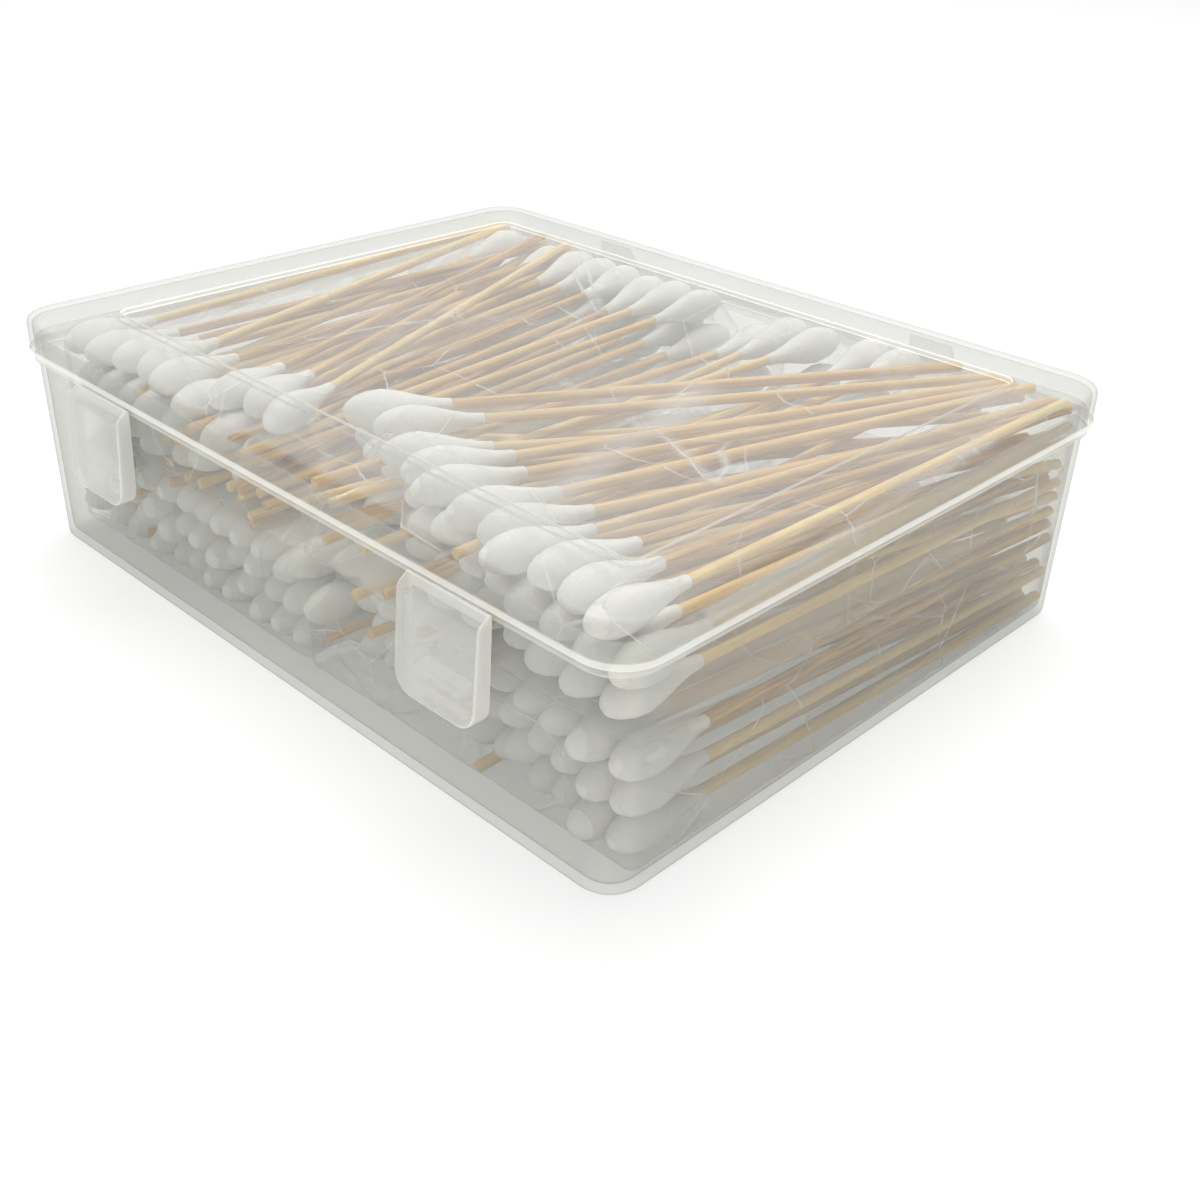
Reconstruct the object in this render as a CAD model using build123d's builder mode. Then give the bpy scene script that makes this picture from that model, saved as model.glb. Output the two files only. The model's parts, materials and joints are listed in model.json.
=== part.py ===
"""Clear hinged-lid tub packed with film bags of single-ended cotton swabs.

Frame: millimetres, +Z up, origin at the middle of the tub's flat base.
X runs along the long side, -Y is the latch side, +Y is the hinge side.
"""

import os
from math import sqrt

from build123d import *

# ---- tub -------------------------------------------------------------------
tub_length = 204.8         # outside, at the rim, along X
tub_width = 161.8          # outside, at the rim, along Y
tub_corner = 8.0           # outside radius of the upright corners
tub_wall = 1.2             # walls and floor
tub_draft = 0.6            # each side of the base lies this far inside the rim
base_round = 1.5           # round between walls and base
rim_overlap = 4.2          # how far the walls reach up inside the lid

# ---- lid -------------------------------------------------------------------
closed_height = 60.0       # table to lid top
lid_wall = 1.1
skirt_depth = 9.5
skirt_gap = 0.5            # air between tub wall and lid skirt
lid_top_round = 1.8
skirt_edge_round = 0.4
panel_length = 175.0       # sunken panel in the lid's top
panel_width = 130.0
panel_shift = 2.0          # the panel lies this far towards the hinge
panel_corner = 3.0
panel_sink = 1.2

# ---- stop ledge round the tub, under the skirt --------------------------------
ledge_reach = 1.0
ledge_height = 1.6
ledge_gap = 0.35

# ---- latches ---------------------------------------------------------------
latch_offset = 61.5        # latch centres, either side of the middle
latch_width = 23.0
latch_drop = 23.4          # pivot to lower edge
latch_wall = 1.0
latch_corner = 5.0
pivot_out = 0.5            # pivot line, outside the skirt's face
pivot_drop = 0.75          # pivot line, below the skirt's edge
barrel_radius = 0.45
knee_out = 2.9             # top of the plate, from the pivot
knee_drop = 1.3
flare = 1.7                # lower edge stands this much further out than the knee
flange_top = 2.6           # where the side flanges start, below the pivot
flange_clear = 0.6         # side flanges to stop ledge
catch_width = 14.0
catch_drop = 16.5          # skirt edge to underside of the catch
catch_reach = 1.3
catch_thick = 2.6
bead_gap = 0.45            # snap bead to catch, across and below
bead_thick = 1.6

# ---- lid hinge ---------------------------------------------------------------
hinge_offset = 55.0        # hinge centres, either side of the middle
hinge_out = 2.1            # axis, outside the skirt's rear face
hinge_drop = 4.0           # axis, below the skirt's edge
tongue_width = 12.0
knuckle_radius = 2.1
trunnion_radius = 1.4
trunnion_fit = 0.08        # radial running clearance
ear_thickness = 3.2
ear_gap = 0.4              # tongue to ear
ear_radius = 3.0
ear_depth = 9.0            # ear root, below the axis
tongue_rise = 6.5          # how far the tongue climbs the skirt

# ---- swabs -------------------------------------------------------------------
swab_length = 150.0
stick_radius = 1.3
bud_radius = 4.75
bud_length = 25.0
bud_belly = 9.0            # nose to widest section
bud_neck = 2.1             # radius where the cotton ends
wood_inset = 6.0           # cotton in front of the stick's end
wrap_gap = 0.1             # cotton bore to stick
swab_gap = 0.3             # least space between a bud and the stick beside it
row_gap = 0.7              # least space between buds of one row and the next

# ---- film bags -----------------------------------------------------------------
film = 0.25
film_gap = 0.3             # film to swabs
bag_gap = 0.4              # bag to bag, and lower bags to floor
bag_side_gap = 0.4         # bag to the tub's end wall
bag_top_gap = 0.5          # bag to the lid's panel
bag_back_gap = 1.4         # bag to the tub's rear wall
bag_plan_corner = 4.6
bag_edge_round = 3.0

# ---- worked out ------------------------------------------------------------------
lid_length = tub_length + 2 * (skirt_gap + lid_wall)
lid_width = tub_width + 2 * (skirt_gap + lid_wall)
lid_corner = tub_corner + skirt_gap + lid_wall
skirt_edge = closed_height - skirt_depth
rim_height = skirt_edge + rim_overlap
front_face = -tub_width / 2
skirt_front = -lid_width / 2
skirt_rear = lid_width / 2
ledge_top = skirt_edge - ledge_gap
ledge_base = ledge_top - ledge_height
catch_height = skirt_edge - catch_drop
pivot_y = skirt_front - pivot_out
pivot_z = skirt_edge - pivot_drop
hinge_y = skirt_rear + hinge_out
hinge_z = skirt_edge - hinge_drop
bore_radius = trunnion_radius + trunnion_fit


def draft_at(height):
    """How far a wall has leaned in from its place at the rim, at a height."""
    return tub_draft * (rim_height - height) / rim_height


def rounded_block(length, width, radius, low, high):
    """Upright block with rounded corners between two heights."""
    with BuildPart() as block:
        with BuildSketch(Plane.XY.offset(low)):
            RectangleRounded(length, width, radius)
        extrude(amount=high - low)
    return block.part


def tapered_block(inset, low, high):
    """The tub's outline moved in by inset, leaning with the draft, between two heights."""
    with BuildPart() as block:
        for height in (low, high):
            lean = 2 * (inset + draft_at(height))
            with BuildSketch(Plane.XY.offset(height)):
                RectangleRounded(tub_length - lean, tub_width - lean, tub_corner - inset)
        loft()
    return block.part


def side_prism(points, centre_x, width):
    """Prism of an outline in the YZ plane, centred on centre_x along X."""
    with BuildPart() as prism:
        with BuildSketch(Plane.YZ.offset(centre_x)):
            with BuildLine():
                Polyline(*points, close=True)
            make_face()
        extrude(amount=width / 2, both=True)
    return prism.part


def cross_rod(y, z, radius, centre_x, width):
    """Round rod along X."""
    with BuildPart() as rod:
        with BuildSketch(Plane.YZ.offset(centre_x)):
            with Locations((y, z)):
                Circle(radius)
        extrude(amount=width / 2, both=True)
    return rod.part


# ---- tub -------------------------------------------------------------------------
def hinge_ear(centre_x):
    """Bearing ear on the tub's rear wall, with its bore."""
    wall_y = tub_width / 2 - tub_draft - tub_wall / 2
    root = [
        (wall_y, hinge_z - ear_depth),
        (wall_y, hinge_z + ear_radius),
        (hinge_y, hinge_z + ear_radius),
        (hinge_y + ear_radius, hinge_z),
        (hinge_y + ear_radius * 0.7, hinge_z - ear_radius * 0.7),
    ]
    with BuildPart() as ear:
        add(side_prism(root, centre_x, ear_thickness))
        add(cross_rod(hinge_y, hinge_z, ear_radius, centre_x, ear_thickness))
        add(cross_rod(hinge_y, hinge_z, bore_radius, centre_x, 2 * ear_thickness), mode=Mode.SUBTRACT)
    return ear.part


def latch_catch(centre_x):
    """Wedge on the tub's front wall that a latch snaps under."""
    root_y = front_face + draft_at(catch_height) + tub_wall / 2
    tip_y = front_face + draft_at(catch_height) - catch_reach
    outline = [
        (root_y, catch_height),
        (tip_y, catch_height),
        (tip_y, catch_height + bead_gap),
        (root_y, catch_height + catch_thick),
    ]
    return side_prism(outline, centre_x, catch_width)


ear_shift = (tongue_width + ear_thickness) / 2 + ear_gap

with BuildPart() as tub:
    add(tapered_block(0, 0, rim_height))
    fillet(tub.faces().sort_by(Axis.Z)[0].edges(), base_round)
    add(rounded_block(tub_length + 2 * ledge_reach, tub_width + 2 * ledge_reach,
                      tub_corner + ledge_reach, ledge_base, ledge_top))
    for side in (-1, 1):
        add(latch_catch(side * latch_offset))
        for flank in (-1, 1):
            add(hinge_ear(side * hinge_offset + flank * ear_shift))
    add(tapered_block(tub_wall, tub_wall, rim_height), mode=Mode.SUBTRACT)
tub.part.label = "tub"

# ---- lid -------------------------------------------------------------------------
panel_place = Pos(0, panel_shift, 0)


def hinge_tongue(centre_x):
    """Tongue on the lid's rear skirt, with a knuckle and two trunnions."""
    inner = skirt_rear - lid_wall / 2
    outline = [
        (hinge_y - knuckle_radius, hinge_z),
        (hinge_y + knuckle_radius, hinge_z),
        (hinge_y + knuckle_radius, skirt_edge),
        (skirt_rear, skirt_edge + tongue_rise),
        (inner, skirt_edge + tongue_rise),
        (inner, skirt_edge),
        (skirt_rear, skirt_edge),
    ]
    trunnion_span = tongue_width + 2 * (ear_gap + ear_thickness)
    with BuildPart() as tongue:
        add(side_prism(outline, centre_x, tongue_width))
        add(cross_rod(hinge_y, hinge_z, knuckle_radius, centre_x, tongue_width))
        add(cross_rod(hinge_y, hinge_z, trunnion_radius, centre_x, trunnion_span))
    return tongue.part


with BuildPart() as lid:
    add(rounded_block(lid_length, lid_width, lid_corner, skirt_edge, closed_height))
    fillet(lid.faces().sort_by(Axis.Z)[-1].edges(), lid_top_round)
    fillet(lid.faces().sort_by(Axis.Z)[0].edges(), skirt_edge_round)
    add(rounded_block(lid_length - 2 * lid_wall, lid_width - 2 * lid_wall, lid_corner - lid_wall,
                      skirt_edge, closed_height - lid_wall), mode=Mode.SUBTRACT)
    add(panel_place * rounded_block(panel_length + 2 * lid_wall, panel_width + 2 * lid_wall,
                                    panel_corner + lid_wall,
                                    closed_height - panel_sink - lid_wall, closed_height - lid_wall))
    add(panel_place * rounded_block(panel_length, panel_width, panel_corner,
                                    closed_height - panel_sink, closed_height), mode=Mode.SUBTRACT)
    for side in (-1, 1):
        add(hinge_tongue(side * hinge_offset))
lid.part.label = "lid"


# ---- latches -----------------------------------------------------------------------
def latch_pan(centre_x, shrink):
    """Side outline of a latch as a solid block, moved in by shrink, with round lower corners."""
    outline = [
        (pivot_y, pivot_z + barrel_radius),
        (pivot_y - knee_out, pivot_z - knee_drop),
        (pivot_y - knee_out - flare, pivot_z - latch_drop),
        (front_face - ledge_reach - flange_clear - flare / 2, pivot_z - latch_drop),
        (front_face - ledge_reach - flange_clear, pivot_z - flange_top),
        (pivot_y, pivot_z - barrel_radius),
    ]
    half = latch_width / 2 - shrink
    low = pivot_z - latch_drop + shrink
    with BuildPart() as pan:
        with BuildSketch(Plane.YZ.offset(centre_x)):
            with BuildLine():
                Polyline(*outline, close=True)
            make_face()
            if shrink:
                offset(amount=-shrink, kind=Kind.INTERSECTION, mode=Mode.REPLACE)
        extrude(amount=half, both=True)
        with BuildSketch(Plane.XZ.offset(-pivot_y)) as front:
            with Locations((centre_x, low + latch_drop)):
                RectangleRounded(2 * half, 2 * latch_drop, latch_corner - shrink)
        extrude(front.sketch, amount=2 * latch_width, both=True, mode=Mode.INTERSECT)
    return pan.part


def make_latch(centre_x):
    """Snap latch: barrel, sloped shoulder, flared pan with side flanges, and a snap bead."""
    bead_top = catch_height - bead_gap
    bead_tip = front_face + draft_at(catch_height) - catch_reach - bead_gap
    bead_root = pivot_y - knee_out + latch_wall / 4 - flare * (pivot_z - bead_top) / latch_drop
    pocket = latch_pan(centre_x, latch_wall)
    with BuildPart() as latch:
        add(latch_pan(centre_x, 0))
        add(pocket, mode=Mode.SUBTRACT)
        add(Pos(0, latch_wall, 0) * pocket, mode=Mode.SUBTRACT)
        add(Pos(0, 2 * latch_wall, 0) * pocket, mode=Mode.SUBTRACT)
        add(cross_rod(pivot_y, pivot_z, barrel_radius, centre_x, latch_width))
        add(side_prism([(bead_root, bead_top), (bead_tip, bead_top),
                        (bead_tip, bead_top - bead_thick / 2), (bead_root, bead_top - bead_thick)],
                       centre_x, catch_width))
    return latch.part


# ---- swabs -------------------------------------------------------------------------
nose = -swab_length / 2

with BuildPart() as stick:
    with BuildSketch(Plane.XZ.offset(-nose - wood_inset)):
        Circle(stick_radius)
    extrude(amount=wood_inset - swab_length)

with BuildPart() as bud:
    with BuildSketch(Plane.XY):
        with BuildLine():
            Spline((0, nose), (bud_radius, nose + bud_belly), (bud_neck, nose + bud_length),
                   tangents=((1, 0), (-0.15, 1)))
            Polyline((bud_neck, nose + bud_length), (stick_radius + wrap_gap, nose + bud_length),
                     (stick_radius + wrap_gap, nose + wood_inset - wrap_gap),
                     (0, nose + wood_inset - wrap_gap), (0, nose))
        make_face()
    revolve(axis=Axis.Y)

# Two bags side by side and two layers fill the tub; the swabs spread evenly over each bag.
bag_width = tub_length / 2 - tub_draft - tub_wall - bag_side_gap - bag_gap / 2
bag_height = (closed_height - panel_sink - lid_wall - bag_top_gap - tub_wall - 2 * bag_gap) / 2
swab_margin = bud_radius + film_gap + film
columns = 1 + int((bag_width - 2 * swab_margin) / (bud_radius + stick_radius + swab_gap))
column_pitch = (bag_width - 2 * swab_margin) / (columns - 1)
least_row_pitch = sqrt((2 * bud_radius + row_gap) ** 2 - column_pitch ** 2)
rows = 1 + int((bag_height - 2 * swab_margin) / least_row_pitch)
row_pitch = (bag_height - 2 * swab_margin) / (rows - 1)
bag_length = swab_length + 2 * (film_gap + film)
bag_y = tub_width / 2 - tub_draft - tub_wall - bag_back_gap - bag_length / 2


def swab_places(centre_x, low):
    """Places of the swabs in one bag; neighbours point opposite ways, rows are staggered."""
    first_x = centre_x - (columns - 1) * column_pitch / 2
    first_z = low + swab_margin
    return [
        Location((first_x + column * column_pitch, bag_y, first_z + row * row_pitch),
                 (0, 0, 180 * ((row + column) % 2)))
        for row in range(rows) for column in range(columns)
    ]


# ---- film bags ---------------------------------------------------------------------
def pillow(inset, centre_x, low):
    """Block with rounded corners and edges, moved in by inset on every side."""
    place = Plane((centre_x, bag_y, low + inset))
    with BuildPart() as block:
        with BuildSketch(place):
            RectangleRounded(bag_width - 2 * inset, bag_length - 2 * inset, bag_plan_corner - inset)
        extrude(amount=bag_height - 2 * inset)
        ends = block.faces().sort_by(Axis.Z)
        fillet(ends[0].edges() + ends[-1].edges(), bag_edge_round - inset)
    return block.part


def make_bag(centre_x, low):
    """Closed bag of film round one bundle of swabs."""
    with BuildPart() as bag:
        add(pillow(0, centre_x, low))
        add(pillow(film, centre_x, low), mode=Mode.SUBTRACT)
    return bag.part


# ---- write one file for each piece or group ------------------------------------------
os.makedirs("parts", exist_ok=True)
export_step(tub.part, "parts/tub.step")
export_step(lid.part, "parts/lid.step")

layer_floor = tub_wall + bag_gap
for layer in ("lower", "upper"):
    for hand, side in (("left", -1), ("right", 1)):
        place_x = side * (bag_width + bag_gap) / 2
        bag = make_bag(place_x, layer_floor)
        bag.label = f"bag_{layer}_{hand}"
        export_step(bag, f"parts/{bag.label}.step")
        places = swab_places(place_x, layer_floor)
        for piece, source in (("sticks", stick.part), ("buds", bud.part)):
            group = Compound(children=[place * source for place in places])
            group.label = f"{piece}_{layer}_{hand}"
            export_step(group, f"parts/{group.label}.step")
    layer_floor += bag_height + bag_gap

for hand, side in (("left", -1), ("right", 1)):
    latch = make_latch(side * latch_offset)
    latch.label = f"latch_{hand}"
    export_step(latch, f"parts/{latch.label}.step")

print(f"swabs in a bag: {rows} rows of {columns}; bags reach {layer_floor - bag_gap:.2f}")
print(f"hinge axis y {hinge_y:.3f} z {hinge_z:.3f}, latch pivot y {pivot_y:.3f} z {pivot_z:.3f}")
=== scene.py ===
"""Looks of a clear hinged-lid tub packed with film bags of single-ended cotton swabs.

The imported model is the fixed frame, in metres, +Z up, with its origin at the middle of the
tub's flat base. X runs along the long side, -Y is the latch side and +Y the hinge side.
Sizes below are written in millimetres times MM, so that they read as the real ones.
"""

from __future__ import annotations

import json
import logging
import math
from dataclasses import dataclass, field
from enum import Enum
from typing import Sequence

import bmesh
import bpy
import numpy as np
from mathutils import Matrix, Vector


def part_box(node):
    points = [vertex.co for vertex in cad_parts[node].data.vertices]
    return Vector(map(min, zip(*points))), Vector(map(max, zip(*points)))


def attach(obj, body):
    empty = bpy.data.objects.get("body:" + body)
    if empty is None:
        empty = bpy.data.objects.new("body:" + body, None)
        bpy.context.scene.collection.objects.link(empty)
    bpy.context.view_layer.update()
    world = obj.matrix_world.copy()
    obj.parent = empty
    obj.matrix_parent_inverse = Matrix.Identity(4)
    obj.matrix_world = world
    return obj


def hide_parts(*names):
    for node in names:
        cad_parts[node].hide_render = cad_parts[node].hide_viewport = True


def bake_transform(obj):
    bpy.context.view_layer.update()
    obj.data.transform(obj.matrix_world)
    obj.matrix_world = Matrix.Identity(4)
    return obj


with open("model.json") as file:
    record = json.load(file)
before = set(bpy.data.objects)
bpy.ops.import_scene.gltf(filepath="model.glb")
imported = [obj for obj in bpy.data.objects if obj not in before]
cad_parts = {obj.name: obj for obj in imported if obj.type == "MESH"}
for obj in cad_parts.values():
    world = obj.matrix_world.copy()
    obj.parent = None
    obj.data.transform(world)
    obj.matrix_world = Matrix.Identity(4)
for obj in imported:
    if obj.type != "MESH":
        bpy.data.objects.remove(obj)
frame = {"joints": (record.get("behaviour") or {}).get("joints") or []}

MM = 0.001
log = logging.getLogger("swab_tub")


class Hand(Enum):
    """Which side of the middle a repeated piece stands on."""

    LEFT = -1
    RIGHT = 1


class Heading(Enum):
    """Which wall a swab's cotton end points at."""

    FRONT = -1
    BACK = 1


class Face(Enum):
    """Which side of a latch a level of its tray follows."""

    FRONT = "outer face"
    BACK = "free edges of the flanges"


# ---- shared helpers ----------------------------------------------------------------------
def linear(code: str) -> tuple[float, float, float, float]:
    """Turns an sRGB hex colour into linear light.

    Args:
        code: Colour as "#RRGGBB".

    Returns:
        Linear red, green, blue and an alpha of 1.
    """
    channels = [int(code[i:i + 2], 16) / 255 for i in (1, 3, 5)]
    light = [c / 12.92 if c <= 0.04045 else ((c + 0.055) / 1.055) ** 2.4 for c in channels]
    return (*light, 1.0)


def add_node(tree: bpy.types.NodeTree, kind: str, settings: dict | None = None,
             inputs: dict | None = None) -> bpy.types.Node:
    """Adds a node with its settings and links.

    Args:
        tree: Tree that gets the node.
        kind: Blender's name of the node type.
        settings: Node properties by name.
        inputs: Values or source sockets, by input name or number.

    Returns:
        The new node.
    """
    node = tree.nodes.new(kind)
    for name, value in (settings or {}).items():
        setattr(node, name, value)
    for name, value in (inputs or {}).items():
        if isinstance(value, bpy.types.NodeSocket):
            tree.links.new(value, node.inputs[name])
        else:
            node.inputs[name].default_value = value
    return node


def new_material(name: str) -> tuple[bpy.types.Material, bpy.types.NodeTree, bpy.types.Node]:
    """Makes an empty node material.

    Args:
        name: Name of the material.

    Returns:
        The material, its tree and its output node.
    """
    material = bpy.data.materials.new(name)
    material.use_nodes = True
    material.node_tree.nodes.clear()
    return material, material.node_tree, add_node(material.node_tree, "ShaderNodeOutputMaterial")


def link_object(name: str, mesh: bpy.types.Mesh, material: bpy.types.Material) -> bpy.types.Object:
    """Puts a mesh into the scene at the origin with its material.

    Args:
        name: Name of the new object.
        mesh: Its mesh, already in the frame.
        material: Its only material.

    Returns:
        The new object.
    """
    mesh.name = name
    mesh.materials.clear()
    mesh.materials.append(material)
    item = bpy.data.objects.new(name, mesh)
    bpy.context.scene.collection.objects.link(item)
    return item


def mesh_from(points: Sequence, faces: Sequence, smooth_angle: float = 40.0) -> bpy.types.Mesh:
    """Makes a mesh whose faces point outwards, with sharp edges kept sharp.

    Args:
        points: Corner positions.
        faces: Corner numbers of each face.
        smooth_angle: Edges that bend more than this, in degrees, stay sharp.

    Returns:
        The mesh.
    """
    mesh = bpy.data.meshes.new("made")
    mesh.from_pydata([tuple(p) for p in points], [], [tuple(f) for f in faces])
    body = bmesh.new()
    body.from_mesh(mesh)
    bmesh.ops.recalc_face_normals(body, faces=body.faces[:])
    body.to_mesh(mesh)
    body.free()
    mesh.shade_smooth()
    mesh.set_sharp_from_angle(angle=math.radians(smooth_angle))
    return mesh


def mark_gleam(mesh: bpy.types.Mesh, values: Sequence[float]) -> bpy.types.Mesh:
    """Stores on each point how much painted highlight a moulded round there gets."""
    layer = mesh.attributes.new("gleam", "FLOAT", "POINT")
    layer.data.foreach_set("value", np.array(values, np.float32))
    return mesh


def joined(meshes: Sequence[bpy.types.Mesh]) -> bpy.types.Mesh:
    """Joins closed meshes that are moulded as one piece into one mesh."""
    body = bmesh.new()
    for mesh in meshes:
        body.from_mesh(mesh)
    whole = bpy.data.meshes.new("joined")
    body.to_mesh(whole)
    body.free()
    whole.shade_smooth()
    whole.set_sharp_from_angle(angle=math.radians(40.0))
    return whole


# ---- moulded shells ----------------------------------------------------------------------
@dataclass(frozen=True)
class Ring:
    """One level of a moulded shell: a rounded rectangle parallel to the table."""

    length: float
    width: float
    corner: float
    z: float
    centre_y: float = 0.0
    # Share of painted highlight on this level.
    gleam: float = 0.0
    arc_steps: int = 10
    side_steps: int = 16

    def points(self) -> list[Vector]:
        """Walks once round the ring, with as many points on every ring."""
        corner = max(self.corner, 0.2 * MM)
        half_x, half_y = self.length / 2 - corner, self.width / 2 - corner
        walk: list[Vector] = []
        for quarter, (sx, sy) in enumerate(((1, 1), (-1, 1), (-1, -1), (1, -1))):
            centre = Vector((sx * half_x, self.centre_y + sy * half_y, self.z))
            for step in range(self.arc_steps + 1):
                angle = math.radians(90 * (quarter + step / self.arc_steps))
                walk.append(centre + corner * Vector((math.cos(angle), math.sin(angle), 0)))
            after = (quarter + 1) % 4
            sx, sy = ((1, 1), (-1, 1), (-1, -1), (1, -1))[after]
            start = math.radians(90 * (quarter + 1))
            target = Vector((sx * half_x, self.centre_y + sy * half_y, self.z))
            target += corner * Vector((math.cos(start), math.sin(start), 0))
            last = walk[-1]
            walk += [last.lerp(target, step / self.side_steps) for step in range(1, self.side_steps)]
        return walk


def arc(centre: tuple[float, float], radius: float, start: float, end: float,
        steps: int = 5) -> list[tuple[float, float]]:
    """Points of a round between two stretches of a section.

    Args:
        centre: Centre of the round, as outset and height.
        radius: Its radius.
        start: First angle in degrees, 0 along the outset and 90 upwards.
        end: Last angle in degrees.
        steps: Number of chords.

    Returns:
        Outset and height of each point.
    """
    angles = [math.radians(start + (end - start) * i / steps) for i in range(steps + 1)]
    return [(centre[0] + radius * math.cos(a), centre[1] + radius * math.sin(a)) for a in angles]


def loft(rings: Sequence[Ring]) -> bpy.types.Mesh:
    """Closed shell through rings, with flat ends."""
    points: list[Vector] = []
    faces: list[list[int]] = []
    for ring in rings:
        points += ring.points()
    count = len(points) // len(rings)
    for level in range(len(rings) - 1):
        low, high = level * count, (level + 1) * count
        for i in range(count):
            j = (i + 1) % count
            faces.append([low + i, low + j, high + j, high + i])
    faces.append(list(range(count)))
    faces.append(list(range(len(points) - count, len(points))))
    return mark_gleam(mesh_from(points, faces), np.repeat([ring.gleam for ring in rings], count))


def slab(outlines: Sequence[Sequence[tuple[float, float]]], centre_x: float, thickness: float,
         edge_round: float) -> bpy.types.Mesh:
    """Plate across X whose outline lies in the YZ plane, with rounded edges.

    Args:
        outlines: Outer outline first, then any holes, as Y and Z points.
        centre_x: Middle of the plate along X.
        thickness: Size along X.
        edge_round: Round on every edge.

    Returns:
        The plate's mesh.
    """
    curve = bpy.data.curves.new("slab", "CURVE")
    curve.dimensions = "2D"
    curve.fill_mode = "BOTH"
    for outline in outlines:
        spline = curve.splines.new("POLY")
        spline.points.add(len(outline) - 1)
        for point, (y, z) in zip(spline.points, outline):
            point.co = (y, z, 0, 1)
        spline.use_cyclic_u = True
    curve.extrude = thickness / 2 - edge_round
    curve.bevel_depth = edge_round
    curve.bevel_resolution = 2
    curve.offset = -edge_round
    maker = bpy.data.objects.new("slab", curve)
    mesh = bpy.data.meshes.new_from_object(maker)
    bpy.data.objects.remove(maker)
    mesh.transform(Matrix(((0, 0, 1, centre_x), (1, 0, 0, 0), (0, 1, 0, 0), (0, 0, 0, 1))))
    body = bmesh.new()
    body.from_mesh(mesh)
    bmesh.ops.remove_doubles(body, verts=body.verts[:], dist=0.001 * MM)
    bmesh.ops.recalc_face_normals(body, faces=body.faces[:])
    body.to_mesh(mesh)
    body.free()
    return mesh


# ---- finishes ----------------------------------------------------------------------------
@dataclass(frozen=True)
class NaturalPolypropylene:
    """Unpigmented polypropylene from a polished mould: a milky veil with a soft gloss, and painted
    highlight lines on marked rounds.
    """

    name: str
    body: str = "#DEDFDD"
    veil: float = 0.09
    edge_veil: float = 0.32
    clear: str = "#FCFCFB"
    clear_edge: str = "#B9BCB9"
    edge_power: float = 2.5
    # Painted highlight: rounds marked with gleam take this whiter colour and a thicker veil, the veil
    # partly for their thicker plastic.
    highlight_line: str = "#FBFAF4"
    highlight_line_veil: float = 0.45
    roughness: float = 0.22
    flow_width: float = 45 * MM

    def build(self) -> bpy.types.Material:
        """Mixes the veil over a clear pass-through, thicker where the wall is seen edge on, and paints
        highlight lines on rounds marked with gleam.
        """
        material, tree, output = new_material(self.name)
        place = add_node(tree, "ShaderNodeTexCoord")
        flow = add_node(tree, "ShaderNodeTexNoise",
                        inputs={"Vector": place.outputs["Object"], "Scale": 1 / self.flow_width,
                                "Detail": 1.0})
        ripple = add_node(tree, "ShaderNodeBump",
                          inputs={"Height": flow.outputs["Fac"], "Strength": 0.25,
                                  "Distance": 0.6 * MM})
        gleam = add_node(tree, "ShaderNodeAttribute", {"attribute_name": "gleam"})
        # Painted highlight: the colour turns whiter where gleam marks a round.
        tone = add_node(tree, "ShaderNodeMix", {"data_type": "RGBA"},
                        {0: gleam.outputs["Fac"], 6: linear(self.body), 7: linear(self.highlight_line)})
        plastic = add_node(tree, "ShaderNodeBsdfPrincipled",
                           inputs={"Base Color": tone.outputs[2], "Roughness": self.roughness,
                                   "IOR": 1.49, "Specular IOR Level": 0.8,
                                   "Normal": ripple.outputs["Normal"]})
        facing = add_node(tree, "ShaderNodeLayerWeight", inputs={"Blend": 0.35})
        path = add_node(tree, "ShaderNodeMath", {"operation": "POWER"},
                        {0: facing.outputs["Facing"], 1: self.edge_power})
        tint = add_node(tree, "ShaderNodeMix", {"data_type": "RGBA"},
                        {0: path.outputs[0], 6: linear(self.clear), 7: linear(self.clear_edge)})
        clear = add_node(tree, "ShaderNodeBsdfTransparent", inputs={"Color": tint.outputs[2]})
        spread = add_node(tree, "ShaderNodeMapRange",
                          inputs={"Value": facing.outputs["Facing"], "To Min": self.veil,
                                  "To Max": self.edge_veil})
        cloud = add_node(tree, "ShaderNodeMapRange",
                         inputs={"Value": flow.outputs["Fac"], "From Min": 0.3, "From Max": 0.7,
                                 "To Min": 0.9, "To Max": 1.1})
        share = add_node(tree, "ShaderNodeMath", {"operation": "MULTIPLY"},
                         {0: spread.outputs["Result"], 1: cloud.outputs["Result"]})
        # Painted highlight: marked rounds take a thicker veil as well.
        veil_with_highlight = add_node(tree, "ShaderNodeMath", {"operation": "MULTIPLY_ADD", "use_clamp": True},
                            {0: gleam.outputs["Fac"], 1: self.highlight_line_veil, 2: share.outputs[0]})
        mix = add_node(tree, "ShaderNodeMixShader",
                       inputs={0: veil_with_highlight.outputs[0], 1: clear.outputs[0], 2: plastic.outputs[0]})
        tree.links.new(mix.outputs[0], output.inputs["Surface"])
        return material


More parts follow.
